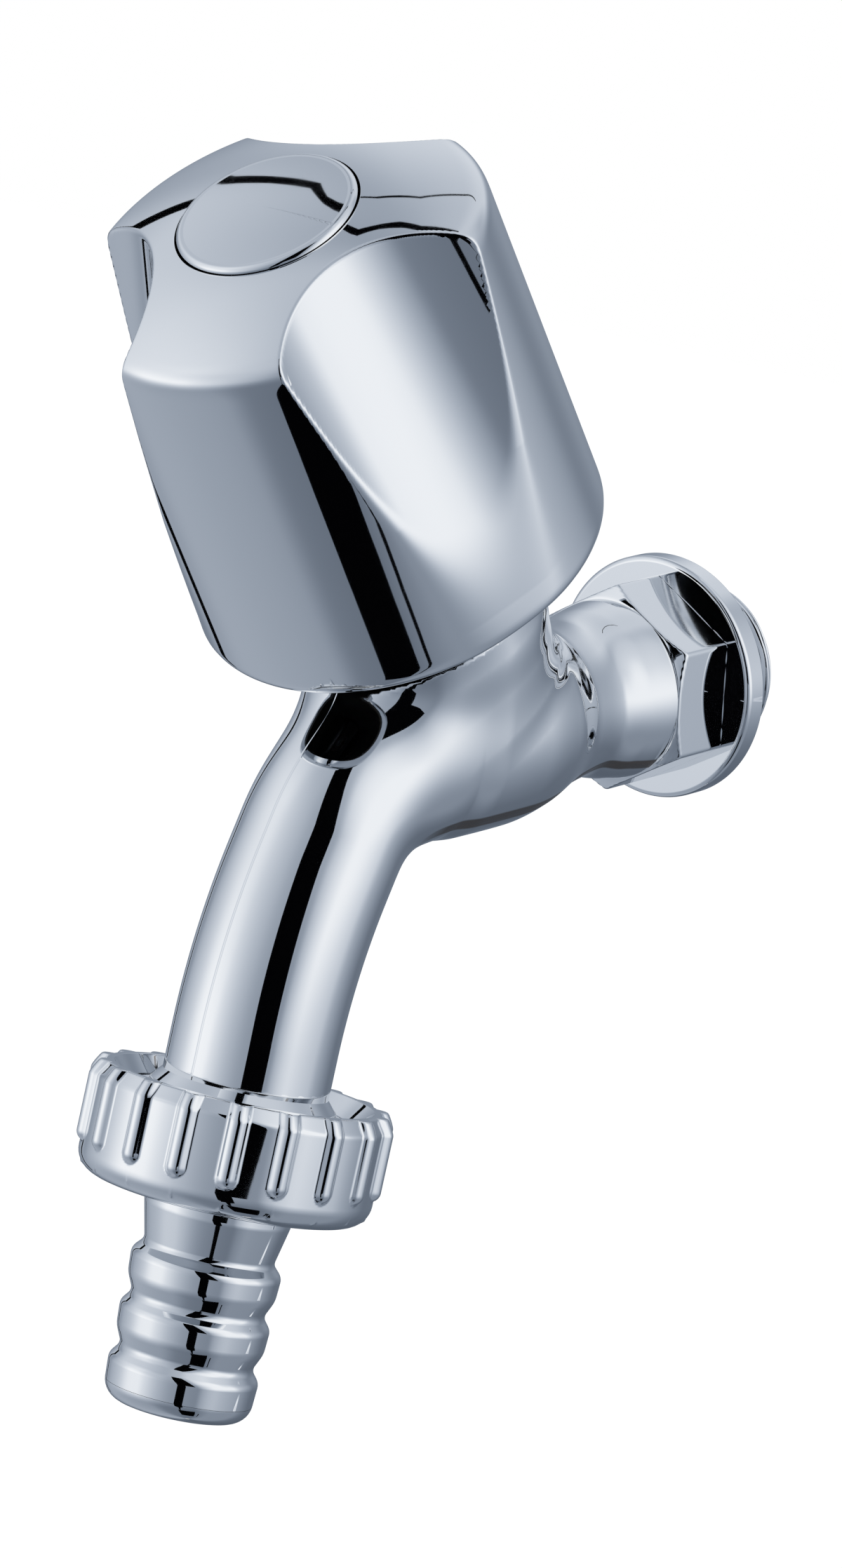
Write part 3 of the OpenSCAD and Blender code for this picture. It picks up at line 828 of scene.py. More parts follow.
@dataclass(frozen=True)
class Hexagon:
    """The spanner hexagon on the inlet, with turned-down corners and softened edges.

    Attributes:
        flat: Half its width across flats, in mm.
        foot: Distance from the wall where it begins.
        top: Distance from the wall where it ends.
        edge_round: Width over which its side edges are rounded.
        corner_round: Width over which its turned corners are rounded.
        end_round: Width over which its ends are rounded.
        columns: Number of steps round it.
    """

    flat: float = 11.0
    foot: float = 2.75
    top: float = 11.6
    edge_round: float = 0.5
    corner_round: float = 0.35
    end_round: float = 0.3
    columns: int = 540

    def solid(self, points: Array) -> Array:
        """Signed distance to the hexagon.

        Args:
            points: Where it is wanted, in mm.

        Returns:
            The distances, in mm.
        """
        x, along, z = points[:, 0], -points[:, 1], points[:, 2]
        sides = [np.abs(x * math.cos(a) + z * math.sin(a)) for a in (0.0, math.pi / 3, 2 * math.pi / 3)]
        body = smooth_max(smooth_max(sides[0], sides[1], self.edge_round), sides[2], self.edge_round)
        # The corners are turned down at 30 degrees, from just inside the flats
        cone = (np.hypot(x, z) - (self.flat - 0.05)) * 0.5 + (along - self.top) * 0.866
        ends = np.maximum(along - self.top, self.foot - along)
        return smooth_max(smooth_max(body - self.flat, cone, self.corner_round), ends, self.end_round)

    def mill(self, name: str) -> bpy.types.Object:
        """Draws the hexagon on rays, which run closest together at its foot.

        Args:
            name: Name of the piece.

        Returns:
            The piece.
        """
        tilt = np.concatenate([np.linspace(-0.62, 0.30, 40), np.linspace(0.315, 1.2, 50)])[:, None]
        ways = spun(np.cos(tilt), -np.sin(tilt), self.columns)[:, [0, 2, 1]]
        heart = np.array([0.0, -8.0, 0.0])
        points = sink_rays(self.solid, np.zeros_like(ways) + heart, ways, 30.0)
        faces = grid_faces(len(tilt), self.columns)
        return make_piece(name, points, faces, unit(gradient(self.solid, points)))


@dataclass(frozen=True)
class PipeThread:
    """A cut pipe thread on a tubular stub.

    Attributes:
        crest: Outer radius of the thread, in mm.
        free: Station of the stub's free end.
        joined: Station of the end that joins the body.
        bore: Radius of the waterway.
        pitch: Pitch of the thread.
        depth: Depth of the thread.
        columns: Number of steps round it.
        rings: Number of steps along it.
    """

    crest: float
    free: float
    joined: float
    bore: float
    pitch: float = 1.814
    depth: float = 1.1
    columns: int = 144
    rings: int = 70

    def cut(self, name: str, axis: Axis) -> bpy.types.Object:
        """Cuts the thread.

        Args:
            name: Name of the piece.
            axis: The axis that it is cut about.

        Returns:
            The piece.
        """
        side = math.copysign(1.0, self.joined - self.free)
        stations = (self.free + side * np.linspace(0, abs(self.joined - self.free), self.rings))[:, None]
        turns = stations / self.pitch - np.arange(self.columns) / self.columns
        wave = np.abs(np.mod(turns, 1.0) - 0.5) * 2
        # Crest and root are flat, and the first turn rises from the free end
        cut = self.depth * np.clip(wave * 1.3 - 0.15, 0, 1)
        lead = np.clip(1.0 - np.abs(stations - self.free), 0, 1)
        thread = np.minimum(self.crest - cut, self.crest - lead * self.depth)
        bore_r = np.array([[self.bore], [self.bore], [self.bore + 0.5]])
        bore_z = np.array([[self.joined - side * 0.5], [self.free + side * 0.5], [self.free]])
        r = np.concatenate([bore_r + np.zeros(self.columns), thread])
        points = spun(r, np.concatenate([bore_z, stations]), self.columns)
        faces = grid_faces(len(r), self.columns)
        return make_piece(name, axis.to_part(points), faces if side > 0 else reversed_faces(faces))


@dataclass
class Casting:
    """The cast body: thread, hexagon, neck, belly, barrel and spout.

    Attributes:
        layout: Where the axes lie.
        neck: Radius along the inlet's axis, by distance from the wall.
        neck_start: Distance from the wall where the neck leaves the hexagon.
        belly_end: Distance from the wall where the belly rounds off.
        barrel: Radius along the valve's axis.
        barrel_foot: Station where the barrel's foot rounds off.
        barrel_top: Station of the barrel's top face.
        lip_round: Width over which that face's edge is rounded.
        spout_r: Outer radius of the spout.
        bends: Radii of the spout's upper and lower bend.
        spout_end: Height above the nut's underside where the cast skin ends.
        crook: Widths of the fillets of barrel and spout, in mm.
        mesh_step: Size of the skin's net, in mm.
        hexagon: The spanner hexagon.
        inlet_thread: The thread in the wall.
        outlet_thread: The thread under the union nut.
    """

    layout: Layout
    neck: SmoothCurve = SmoothCurve(
        (10.0, 12.0, 15.2, 19.6, 24.4, 30.5, 36.6, 44.0, 49.0),
        (10.95, 10.75, 10.2, 9.35, 9.9, 11.4, 12.0, 12.0, 11.4),
    )
    neck_start: float = 10.2
    belly_end: float = 48.0
    barrel: SmoothCurve = SmoothCurve((-6.0, 2.0, 6.0, 11.0, 16.0, 19.0), (9.0, 9.0, 11.2, 13.0, 13.9, 13.9))
    barrel_foot: float = 3.0
    barrel_top: float = 19.0
    lip_round: float = 0.8
    spout_r: float = 9.6
    bends: tuple[float, float] = (18.5, 74.0)
    spout_end: float = 11.6
    crook: tuple[float, float] = (9.0, 7.0)
    mesh_step: float = 0.55
    hexagon: Hexagon = Hexagon()
    inlet_thread: PipeThread = PipeThread(crest=10.47, free=-8.0, joined=3.4, bore=5.5)
    outlet_thread: PipeThread = PipeThread(crest=13.2, free=6.2, joined=11.2, bore=6.8)

    def spout_route(self, y: Array, z: Array) -> Array:
        """Distance in the plane of symmetry to the spout's centre line.

        Args:
            y: Places along the part's y.
            z: Places along its z.

        Returns:
            The distances, in mm.
        """
        lay = self.layout
        slants = [math.pi / 2, math.radians(lay.upper_slant), math.radians(lay.outlet_slant)]
        ways = [np.array([-math.sin(a), -math.cos(a)]) for a in slants]
        corners = [np.array([-lay.spout_reach, 0.0]), np.array(lay.lower_corner)]
        trims = [r * math.tan((a - b) / 2) for r, a, b in zip(self.bends, slants, slants[1:])]
        starts = [corners[0] - ways[0] * (trims[0] + 10.0)]
        starts += [corner + way * trim for corner, way, trim in zip(corners, ways[1:], trims)]
        ends = [corner - way * trim for corner, way, trim in zip(corners, ways, trims)]
        ends += [corners[1] + ways[2] * lay.lower_run]
        best = np.full(y.shape, np.inf)
        for a, b in zip(starts, ends):
            run = b - a
            t = np.clip(((y - a[0]) * run[0] + (z - a[1]) * run[1]) / (run @ run), 0, 1)
            best = np.minimum(best, np.hypot(y - a[0] - run[0] * t, z - a[1] - run[1] * t))
        for radius, way, end, low, high in zip(self.bends, ways, ends, slants, slants[1:]):
            dy, dz = y - end[0] + radius * way[1], z - end[1] - radius * way[0]
            angle = math.pi - np.mod(np.arctan2(dz, dy), 2 * math.pi)
            off = np.abs(np.hypot(dy, dz) - radius)
            best = np.where((angle <= low) & (angle >= high), np.minimum(best, off), best)
        return best

    def solid(self, points: Array) -> Array:
        """Signed distance to the cast skin, with its fillets.

        Args:
            points: Where it is wanted, in mm.

        Returns:
            The distances, in mm.
        """
        x, y, z = points.T
        along = -y
        over = np.maximum(along - self.belly_end, 0)
        belly = np.hypot(np.hypot(x, z), over) - self.neck(np.minimum(along, self.belly_end))
        belly = np.maximum(belly, self.neck_start - along)
        across, aside, height = self.layout.valve.to_local(points).T
        under = np.minimum(height - self.barrel_foot, 0)
        barrel = np.hypot(np.hypot(across, aside), under) - self.barrel(height)
        spout = np.hypot(x, self.spout_route(y, z)) - self.spout_r
        joined = smooth_min(belly, spout, self.crook[1])
        joined = smooth_min(joined, barrel, self.crook[0])
        joined = smooth_max(joined, height - self.barrel_top, self.lip_round)
        return np.maximum(joined, self.spout_end - self.layout.outlet.to_local(points)[:, 2])

    def skin(self) -> bpy.types.Object:
        """Neck, belly, barrel and spout as one cast skin."""
        low, high = np.array([-15.0, -86.0, -39.0]), np.array([15.0, -9.0, 25.0])
        return make_piece("casting_skin", *net_of(self.solid, low, high, self.mesh_step))

    def collar(self) -> bpy.types.Object:
        """The ring at the spout's end, above the outlet thread.

        Returns:
            The piece.
        """
        corners = [
            Corner(12.6, 10.2),
            Corner(12.6, 11.1, 0.2),
            Corner(10.8, 11.1, 0.1),
            Corner(10.8, 12.0, 0.25),
            Corner(9.5, 13.4, 0.6),
            Corner(9.0, 14.2),
        ]
        return turned_piece("outlet_collar", corners, self.layout.outlet)

    def build(self, workshop: Workshop) -> None:
        """Makes the casting's pieces and hangs them on the fixed body.

        Args:
            workshop: Where they get their finishes.
        """
        skin = self.skin()
        pieces = [
            skin,
            self.hexagon.mill("inlet_hexagon"),
            self.inlet_thread.cut("inlet_thread", self.layout.inlet),
            self.outlet_thread.cut("outlet_thread", self.layout.outlet),
            self.collar(),
        ]
        for piece in pieces:
            workshop.dress(piece, Material.CASTING if piece is skin else Material.CHROME)
            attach(piece, "casting")
        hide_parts("body")


@dataclass
class WallFlange:
    """The rosette behind the hexagon.

    Attributes:
        layout: Where the axes lie.
        radius: Outer radius, in mm.
        thickness: Thickness, in mm.
        bore_r: Radius of the bore, which passes over the inlet's thread.
    """

    layout: Layout
    radius: float = 14.7
    thickness: float = 3.0
    bore_r: float = 10.63

    def build(self, workshop: Workshop) -> None:
        """Turns the rosette and hangs it on the fixed body.

        Args:
            workshop: Where it gets its finish.
        """
        corners = [
            Corner(self.bore_r, 0.0),
            Corner(self.radius, 0.0, 0.3),
            Corner(self.radius, self.thickness, 0.7),
            Corner(self.bore_r, self.thickness),
        ]
        piece = turned_piece("wall_rosette", corners, self.layout.inlet, 240)
        workshop.dress(piece, Material.CHROME)
        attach(piece, "casting")
        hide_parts("wall_flange")


@dataclass
class Knob:
    """The three-lobed hollow knob and its cap.

    Attributes:
        layout: Where the axes lie.
        foot: Station of the rim along the valve's axis.
        rim_r: Radius at the rim.
        shoulder_r: Radius at the shoulder.
        side_h: Height over which the side narrows from rim to shoulder.
        height: Height of the top, at the cap's edge.
        dome_r: Radius of the domed top.
        wall: Thickness of the shell.
        turn: Angle of the first lobe, from the front towards +X.
        scallop_r: Radius of each finger scallop.
        scallop_in: How far inside the rim a scallop's foot lies.
        scallop_lean: Lean of each scallop.
        scallop_foot: Height where a scallop runs out.
        round_h: Heights at which the next widths hold.
        scallop_round: Width over which a scallop's edge is rounded, from its foot to its top.
        shoulder_round: Width over which the shoulder is rounded.
        cap_r: Radius of the cap.
        cap_edge: Height of the cap's edge above the top.
        crown: Height of the cap's crown above its edge.
        cap_rim: Depth of the cap's side in its recess, and width of the underside that is drawn.
        cap_play: Gap round the cap in its recess.
        recess: Depth of that recess.
        recess_chamfer: How far outside the cap the chamfer round it begins, and its depth.
        screw_r: Radius of the screw's hole in its floor.
        socket_foot: Height of the socket's foot above the rim.
        socket_h: Height of the socket.
        socket_depth: Depth of its bore.
        socket_bore: Radius of that bore.
        socket_r: Outer radius of the socket, at its foot and its top.
        rim_rows: Rows of the skin's net at the rim, which the cavity leaves out.
        roof_rows: Rows at the top that it leaves out over the hub.
        columns: Number of steps round the shell.
    """

    layout: Layout
    foot: float = 26.1
    rim_r: float = 24.2
    shoulder_r: float = 23.7
    side_h: float = 44.0
    height: float = 48.8
    dome_r: float = 55.0
    wall: float = 2.0
    turn: float = 13.7
    scallop_r: float = 21.3
    scallop_in: float = 0.3
    scallop_lean: float = 14.4
    scallop_foot: float = 7.6
    round_h: Place = (4.0, 20.0, 34.0)
    scallop_round: Place = (4.5, 1.2, 0.45)
    shoulder_round: float = 2.5
    cap_r: float = 10.4
    cap_edge: float = 0.7
    crown: float = 0.5
    cap_rim: float = 2.0
    cap_play: float = 0.06
    recess: float = 2.5
    recess_chamfer: tuple[float, float] = (0.25, 0.12)
    screw_r: float = 2.4
    socket_foot: float = 20.0
    socket_h: float = 21.0
    socket_depth: float = 17.5
    socket_bore: float = 7.6
    socket_r: tuple[float, float] = (9.5, 9.9)
    rim_rows: int = 13
    roof_rows: int = 20
    columns: int = 600

    def form(self, inset: float) -> Field:
        """The knob's form, drawn in by a wall.

        Args:
            inset: Thickness to draw it in by, in mm.

        Returns:
            Signed distance to it, for points in the valve's frame.
        """
        lean = math.radians(self.scallop_lean)
        dome_centre = self.height - math.sqrt(self.dome_r**2 - self.cap_r**2)
        rim_drop, rim_round = (0.5, 0.1) if inset else (0.0, 2.0)

        def solid(points: Array) -> Array:
            """Signed distance to the knob.

            Args:
                points: Where it is wanted, in the valve's frame, in mm.

            Returns:
                The distances, in mm.
            """
            x, y, h = points[:, 0], points[:, 1], points[:, 2] - self.foot
            r = np.hypot(x, y)
            narrowing = (self.rim_r - self.shoulder_r) * np.clip(h, 0, self.side_h + 1) / self.side_h
            dome = np.hypot(r, h - dome_centre) - self.dome_r + inset
            made = smooth_max(r - (self.rim_r - narrowing) + inset, dome, self.shoulder_round)
            blunt = np.interp(h, self.round_h, self.scallop_round)
            for k in range(3):
                # Angle 0 is the front, which is local -y, and angles grow towards +X
                a = math.radians(self.turn + 60 + 120 * k)
                out = x * math.sin(a) - y * math.cos(a) - (self.rim_r - self.scallop_in)
                aside = x * math.cos(a) + y * math.sin(a)
                reach = out * math.cos(lean) + (h - self.scallop_foot) * math.sin(lean)
                groove = self.scallop_r + inset - np.hypot(reach - self.scallop_r, aside)
                made = smooth_max(made, groove, blunt)
            return smooth_max(made, -h - rim_drop, rim_round)

        return solid

    def shell_rows(self) -> tuple[Array, Array]:
        """Aims rays down the knob's profile, from rim to cap.

        Returns:
            The height at which each leaves the axis, and the (r, h) that it aims at.
        """

        def steps(count: int) -> Array:
            """Even shares of the way between two rows that are there already."""
            return np.linspace(0, 1, count)[1:]

        rim = [(r, 0.0) for r in np.linspace(22.4, 23.6, 7)]
        rim += [(24.2 - 0.6 * (1 - t) ** 2, 0.6 * t) for t in (0.0, *steps(8)[:-1])]
        side = [(24.0, h) for h in np.linspace(0.6, 42.0, 110)]
        shoulder = [(23.7 - 0.35 * t, 42.0 + 2.9 * t) for t in steps(22)]
        shoulder += [(23.35 - 1.05 * t, 44.9 + 4.5 * t) for t in steps(28)[:-1]]
        top = [(r, 49.4) for r in np.linspace(22.3, self.cap_r + self.recess_chamfer[0], 40)]
        aims = np.array(rim + side + shoulder + top)
        turns = [0, len(rim), len(rim) + len(side), len(aims)]
        return np.interp(np.arange(len(aims)), turns, [8.0, 8.0, 30.0, 30.0]), aims

    def skin(self, inset: float) -> tuple[Array, Array, int]:
        """Draws the knob's skin on the rays.

        Args:
            inset: How far it is drawn in, in mm.

        Returns:
            Its points, their normals and its number of rows.
        """
        heights, aims = self.shell_rows()
        if inset:
            # The cavity starts inside the rim, and the hub closes its roof
            kept = slice(self.rim_rows, -self.roof_rows)
            heights, aims = heights[kept], aims[kept]
        start = spun(0 * heights[:, None], heights[:, None], self.columns)
        ways = unit(spun(aims[:, :1], aims[:, 1:], self.columns) - start)
        solid = self.form(inset)
        points = sink_rays(solid, start + np.array([0.0, 0.0, self.foot]), ways, 60.0)
        return points, unit(gradient(solid, points)), len(aims)

    def shell(self) -> bpy.types.Object:
        """The plated shell: outer skin and the recess for the cap.

        Returns:
            The piece.
        """
        axis = self.layout.valve
        outer, outer_normals, rows = self.skin(0.0)
        top = float(outer.reshape(rows, self.columns, 3)[-1, :, 2].mean())
        wide, deep = self.recess_chamfer
        recess, slope = rounded_profile(
            [
                Corner(self.cap_r + wide, top),
                Corner(self.cap_r + self.cap_play, top - deep, 0.08),
                Corner(self.cap_r + self.cap_play, top - self.recess),
                Corner(self.screw_r, top - self.recess),
            ]
        )
        points = np.concatenate([outer, spun(recess[:, :1], recess[:, 1:], self.columns)])
        normals = np.concatenate([outer_normals, spun(slope[:, :1], slope[:, 1:], self.columns)])
        faces = grid_faces(rows + len(recess), self.columns)
        return make_piece("knob_shell_skin", axis.to_part(points), faces, axis.turn_to_part(normals))

    def lining(self) -> bpy.types.Object:
        """The cavity's wall, near-black as painted shade of the knob's hollow inside.

        Returns:
            The piece.
        """
        axis = self.layout.valve
        rim = self.skin(0.0)[0][: self.columns]
        inner, normals, rows = self.skin(self.wall)
        points = np.concatenate([rim, inner])
        normals = np.concatenate([0 * rim - np.array([0.0, 0.0, 1.0]), -normals])
        faces = reversed_faces(grid_faces(rows + 1, self.columns))
        return make_piece("knob_lining", axis.to_part(points), faces, axis.turn_to_part(normals))

    def hub(self) -> bpy.types.Object:
        """The socket that hangs inside the shell round the nylon hub.

        Returns:
            The piece.
        """
        foot = self.foot + self.socket_foot
        corners = [
            Corner(self.socket_bore, foot + self.socket_depth),
            Corner(self.socket_bore, foot, 0.2),
            Corner(self.socket_r[0], foot, 0.3),
            Corner(self.socket_r[1], foot + self.socket_h),
        ]
        return turned_piece("knob_socket", corners, self.layout.valve, 96)

    def cap(self) -> bpy.types.Object:
        """The plain round cap on the knob's top.

        Returns:
            The piece.
        """
        seat, edge = self.foot + self.height - self.cap_rim, self.foot + self.height + self.cap_edge
        crown_r, steps = self.cap_r - 1.0, 12
        shares = [1 - i / steps for i in range(steps - 1)]
        corners = [
            Corner(self.cap_r - self.cap_rim, seat),
            Corner(self.cap_r, seat, 0.2),
            Corner(self.cap_r, edge, 0.7),
            *(Corner(crown_r * t, edge + self.crown * (1 - t**2)) for t in shares),
            Corner(0.02, edge + self.crown),
        ]
        profile, slope = rounded_profile(corners)
        # The crown's normals follow its curve, and not its short flats
        high = profile[:, 0] < crown_r
        bend = 2 * self.crown * profile[high, 0] / crown_r**2
        slope[high] = unit(np.stack([bend, np.ones_like(bend)], -1))
        return turned_profile("knob_top_cap", profile, slope, self.layout.valve, 240)

    def build(self, workshop: Workshop) -> None:
        """Makes the knob's pieces and hangs them on the knob's body.

        Args:
            workshop: Where they get their finishes.
        """
        shell, lining, hub, cap = self.shell(), self.lining(), self.hub(), self.cap()
        for piece in (shell, lining, hub, cap):
            # Lining and socket are near-black: painted shade inside the knob's cavity
            workshop.dress(piece, Material.CHROME if piece in (shell, cap) else Material.CAVITY_SHADE)
            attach(piece, "knob")
        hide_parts("knob_shell")
        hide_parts("knob_cap")


@dataclass
class UnionNut:
    """The ribbed union nut.

    Attributes:
        layout: Where the axes lie.
        radius: Plain outer radius, in mm.
        height: Height, in mm.
        edge: Radius of the lower edge.
        ribs: Number of grip ribs.
        rib_w: Width of a rib.
        rib_proud: Height of a rib above the nut.
        rib_foot: Height where a rib's round end begins.
        rib_follow: Share of the bevel's narrowing that a rib follows.
        rib_sink: How far a rib sinks into the bevel by the lip.
        rib_blend: Width of the fillet along a rib.
        lip_r: Radius of the top lip.
        bevel_h: Height of the bevel under the lip.
        neck_r: Radius of the hole that the hose tail hangs through.
        bore_r: Radius of the bore, over the outlet's thread.
        lip_w: Width of the lip's flat top.
        mouth: Depth of the cone that leads into the bore.
        neck_end: Height where the drawn hole ends, hidden by the hose tail's flange.
        bore_end: Height where the drawn bore ends, hidden round the outlet's thread.
        rib_columns: Number of steps round the nut for each rib.
    """

    layout: Layout
    radius: float = 17.0
    height: float = 13.0
    edge: float = 2.6
    ribs: int = 18
    rib_w: float = 2.4
    rib_proud: float = 0.8
    rib_foot: float = 4.6
    rib_follow: float = 0.62
    rib_sink: float = 0.25
    rib_blend: float = 0.5
    lip_r: float = 15.9
    bevel_h: float = 1.7
    neck_r: float = 8.9
    bore_r: float = 13.35
    lip_w: float = 0.8
    mouth: float = 2.2
    neck_end: float = 3.0
    bore_end: float = 6.0
    rib_columns: int = 32

    def outer(self, r: Array, z: Array) -> Array:
        """Swells the turned side into its ribs.

        Args:
            r: Radius of the turned profile in each ring.
            z: Height of each ring.

        Returns:
            The radius at each step round each ring.
        """
        pitch = 2 * math.pi / self.ribs
        columns = self.ribs * self.rib_columns
        angle = np.arange(columns) * 2 * math.pi / columns
        off = np.mod(angle + pitch, pitch) - pitch / 2
        centre = self.radius + self.rib_proud - self.rib_w / 2
        drop = np.maximum(self.rib_foot - z, 0)
        half = np.sqrt(np.maximum((self.rib_w / 2) ** 2 - drop**2, 0))
        under = half**2 - (centre * np.sin(off)) ** 2
        rib = centre * np.cos(off) + np.copysign(np.sqrt(np.abs(under)), under)
        # The ribs follow the bevel at the top, and sink into it towards the lip
        over = np.clip((z - (self.height - self.bevel_h)) / self.bevel_h, 0, 1)
        rib = rib - (self.radius - r) * np.where(over > 0, self.rib_follow, 0.0) - self.rib_sink * over**2
        return np.where(z > 1.0, smooth_max(r, rib, self.rib_blend), r)

    def build(self, workshop: Workshop) -> None:
        """Draws the nut and hangs it on its body.

        Args:
            workshop: Where it gets its finish.
        """
        corners = [
            Corner(self.neck_r, self.neck_end),
            Corner(self.neck_r, 0.0, 0.4),
            Corner(self.radius, 0.0, self.edge),
            Corner(self.radius, self.height - self.bevel_h, 0.9),
            Corner(self.lip_r, self.height, 0.5),
            Corner(self.lip_r - self.lip_w, self.height, 0.2),
            Corner(self.bore_r, self.height - self.mouth, 0.2),
            Corner(self.bore_r, self.bore_end),
        ]
        profile, _ = rounded_profile(corners, 0.22)
        apart = np.linalg.norm(np.diff(profile, axis=0), axis=1) > 1e-4
        profile = profile[np.concatenate([[True], apart])]
        r, z = profile[:, :1], profile[:, 1:]
        rising = np.arange(len(profile))[:, None] < np.argmax(z)
        r = np.where((r >= self.radius - self.edge) & rising, self.outer(r, z), r)
        rows, columns = r.shape
        points = self.layout.outlet.to_part(spun(r, z, columns))
        normals = grid_normals(points, rows, columns)
        piece = make_piece("ribbed_union_nut", points, grid_faces(rows, columns), normals)
        workshop.dress(piece, Material.CHROME)
        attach(piece, "nut")
        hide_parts("union_nut")


@dataclass
class HoseTail:
    """The ridged tail that the hose is pushed on.

    Attributes:
        layout: Where the axes lie.
        bore: Radius of the waterway.
        flange_r: Radius of the flange that the nut holds.
        flange: Heights of the flange's underside and top.
        neck_r: Radius of the neck under the flange.
        ridge_r: Radius over the ridges.
        groove_r: Radius in the grooves.
        first: Station of the first ridge.
        pitch: Distance between ridges.
        ridges: Number of ridges.
        tip: Distance from the last ridge to the tail's end.
    """

    layout: Layout
    bore: float = 6.0
    flange_r: float = 12.6
    flange: tuple[float, float] = (1.95, 4.2)
    neck_r: float = 8.5
    ridge_r: float = 8.7
    groove_r: float = 7.6
    first: float = -8.0
    pitch: float = 6.2
    ridges: int = 3
    tip: float = 4.6

    def build(self, workshop: Workshop) -> None:
        """Turns the tail and hangs it on its body.

        Args:
            workshop: Where it gets its finish.
        """
        foot, top = self.flange
        last = self.first - (self.ridges - 1) * self.pitch
        corners = [
            Corner(self.flange_r, top),
            Corner(self.flange_r, foot, 0.2),
            Corner(self.neck_r, foot, 0.3),
            Corner(self.neck_r, -1.8, 2.0),
            Corner(self.groove_r - 0.1, self.first + 1.6, 1.0),
        ]
        for i in range(self.ridges):
            at = self.first - i * self.pitch
            corners += [Corner(self.ridge_r, at + 0.3, 1.3), Corner(self.ridge_r - 0.15, at - 2.4, 3.0)]
            if i < self.ridges - 1:
                corners += [Corner(self.groove_r, at - self.pitch + 1.7, 1.1)]
        corners += [
            Corner(self.ridge_r - 0.35, last - self.tip, 2.4),
            Corner(self.bore, last - self.tip, 0.3),
            Corner(self.bore, top),
        ]
        piece = turned_piece("ridged_hose_tail", corners[::-1], self.layout.outlet, 200)
        workshop.dress(piece, Material.CHROME)
        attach(piece, "tail")
        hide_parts("hose_tail")


class Headwork:
    """The pieces inside, which keep their CAD form and get their finishes."""

    FINISHES: dict[Material, tuple[str, ...]] = {
        Material.BRASS: ("bonnet", "jumper", "washer_nut", "spindle"),
        Material.STEEL: ("seat_ring", "retaining_clip", "lock_washer", "knob_screw"),
        Material.RUBBER: ("bonnet_gasket", "seat_washer", "spindle_o_rings", "tail_washer"),
        Material.NYLON: ("slip_washer", "knob_insert"),
    }

    def build(self, workshop: Workshop) -> None:
        """Dresses each inner node.

        Args:
            workshop: Where they get their finishes.
        """
        for finish, names in self.FINISHES.items():
            for name in names:
                workshop.dress(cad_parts[name], finish)
                LOG.info("%s: %s", name, finish.value.name)


# The studio


def soft_step(value: Array, low: float, high: float) -> Array:
    """Rises smoothly from 0 at low to 1 at high."""
    t = np.clip((value - low) / (high - low), 0, 1)
    return t * t * (3 - 2 * t)


@dataclass(frozen=True)
class Board:
    """A dark board before the tent's wall, which only mirrors see.

    Attributes:
        name: Its name.
        near: Bearing and elevation of points along one side, in degrees.
        far: The same for the other side, point by point.
        paint: Its colour.
    """

    name: str
    near: tuple[tuple[float, float], ...]
    far: tuple[tuple[float, float], ...]
    paint: str = "#020203"


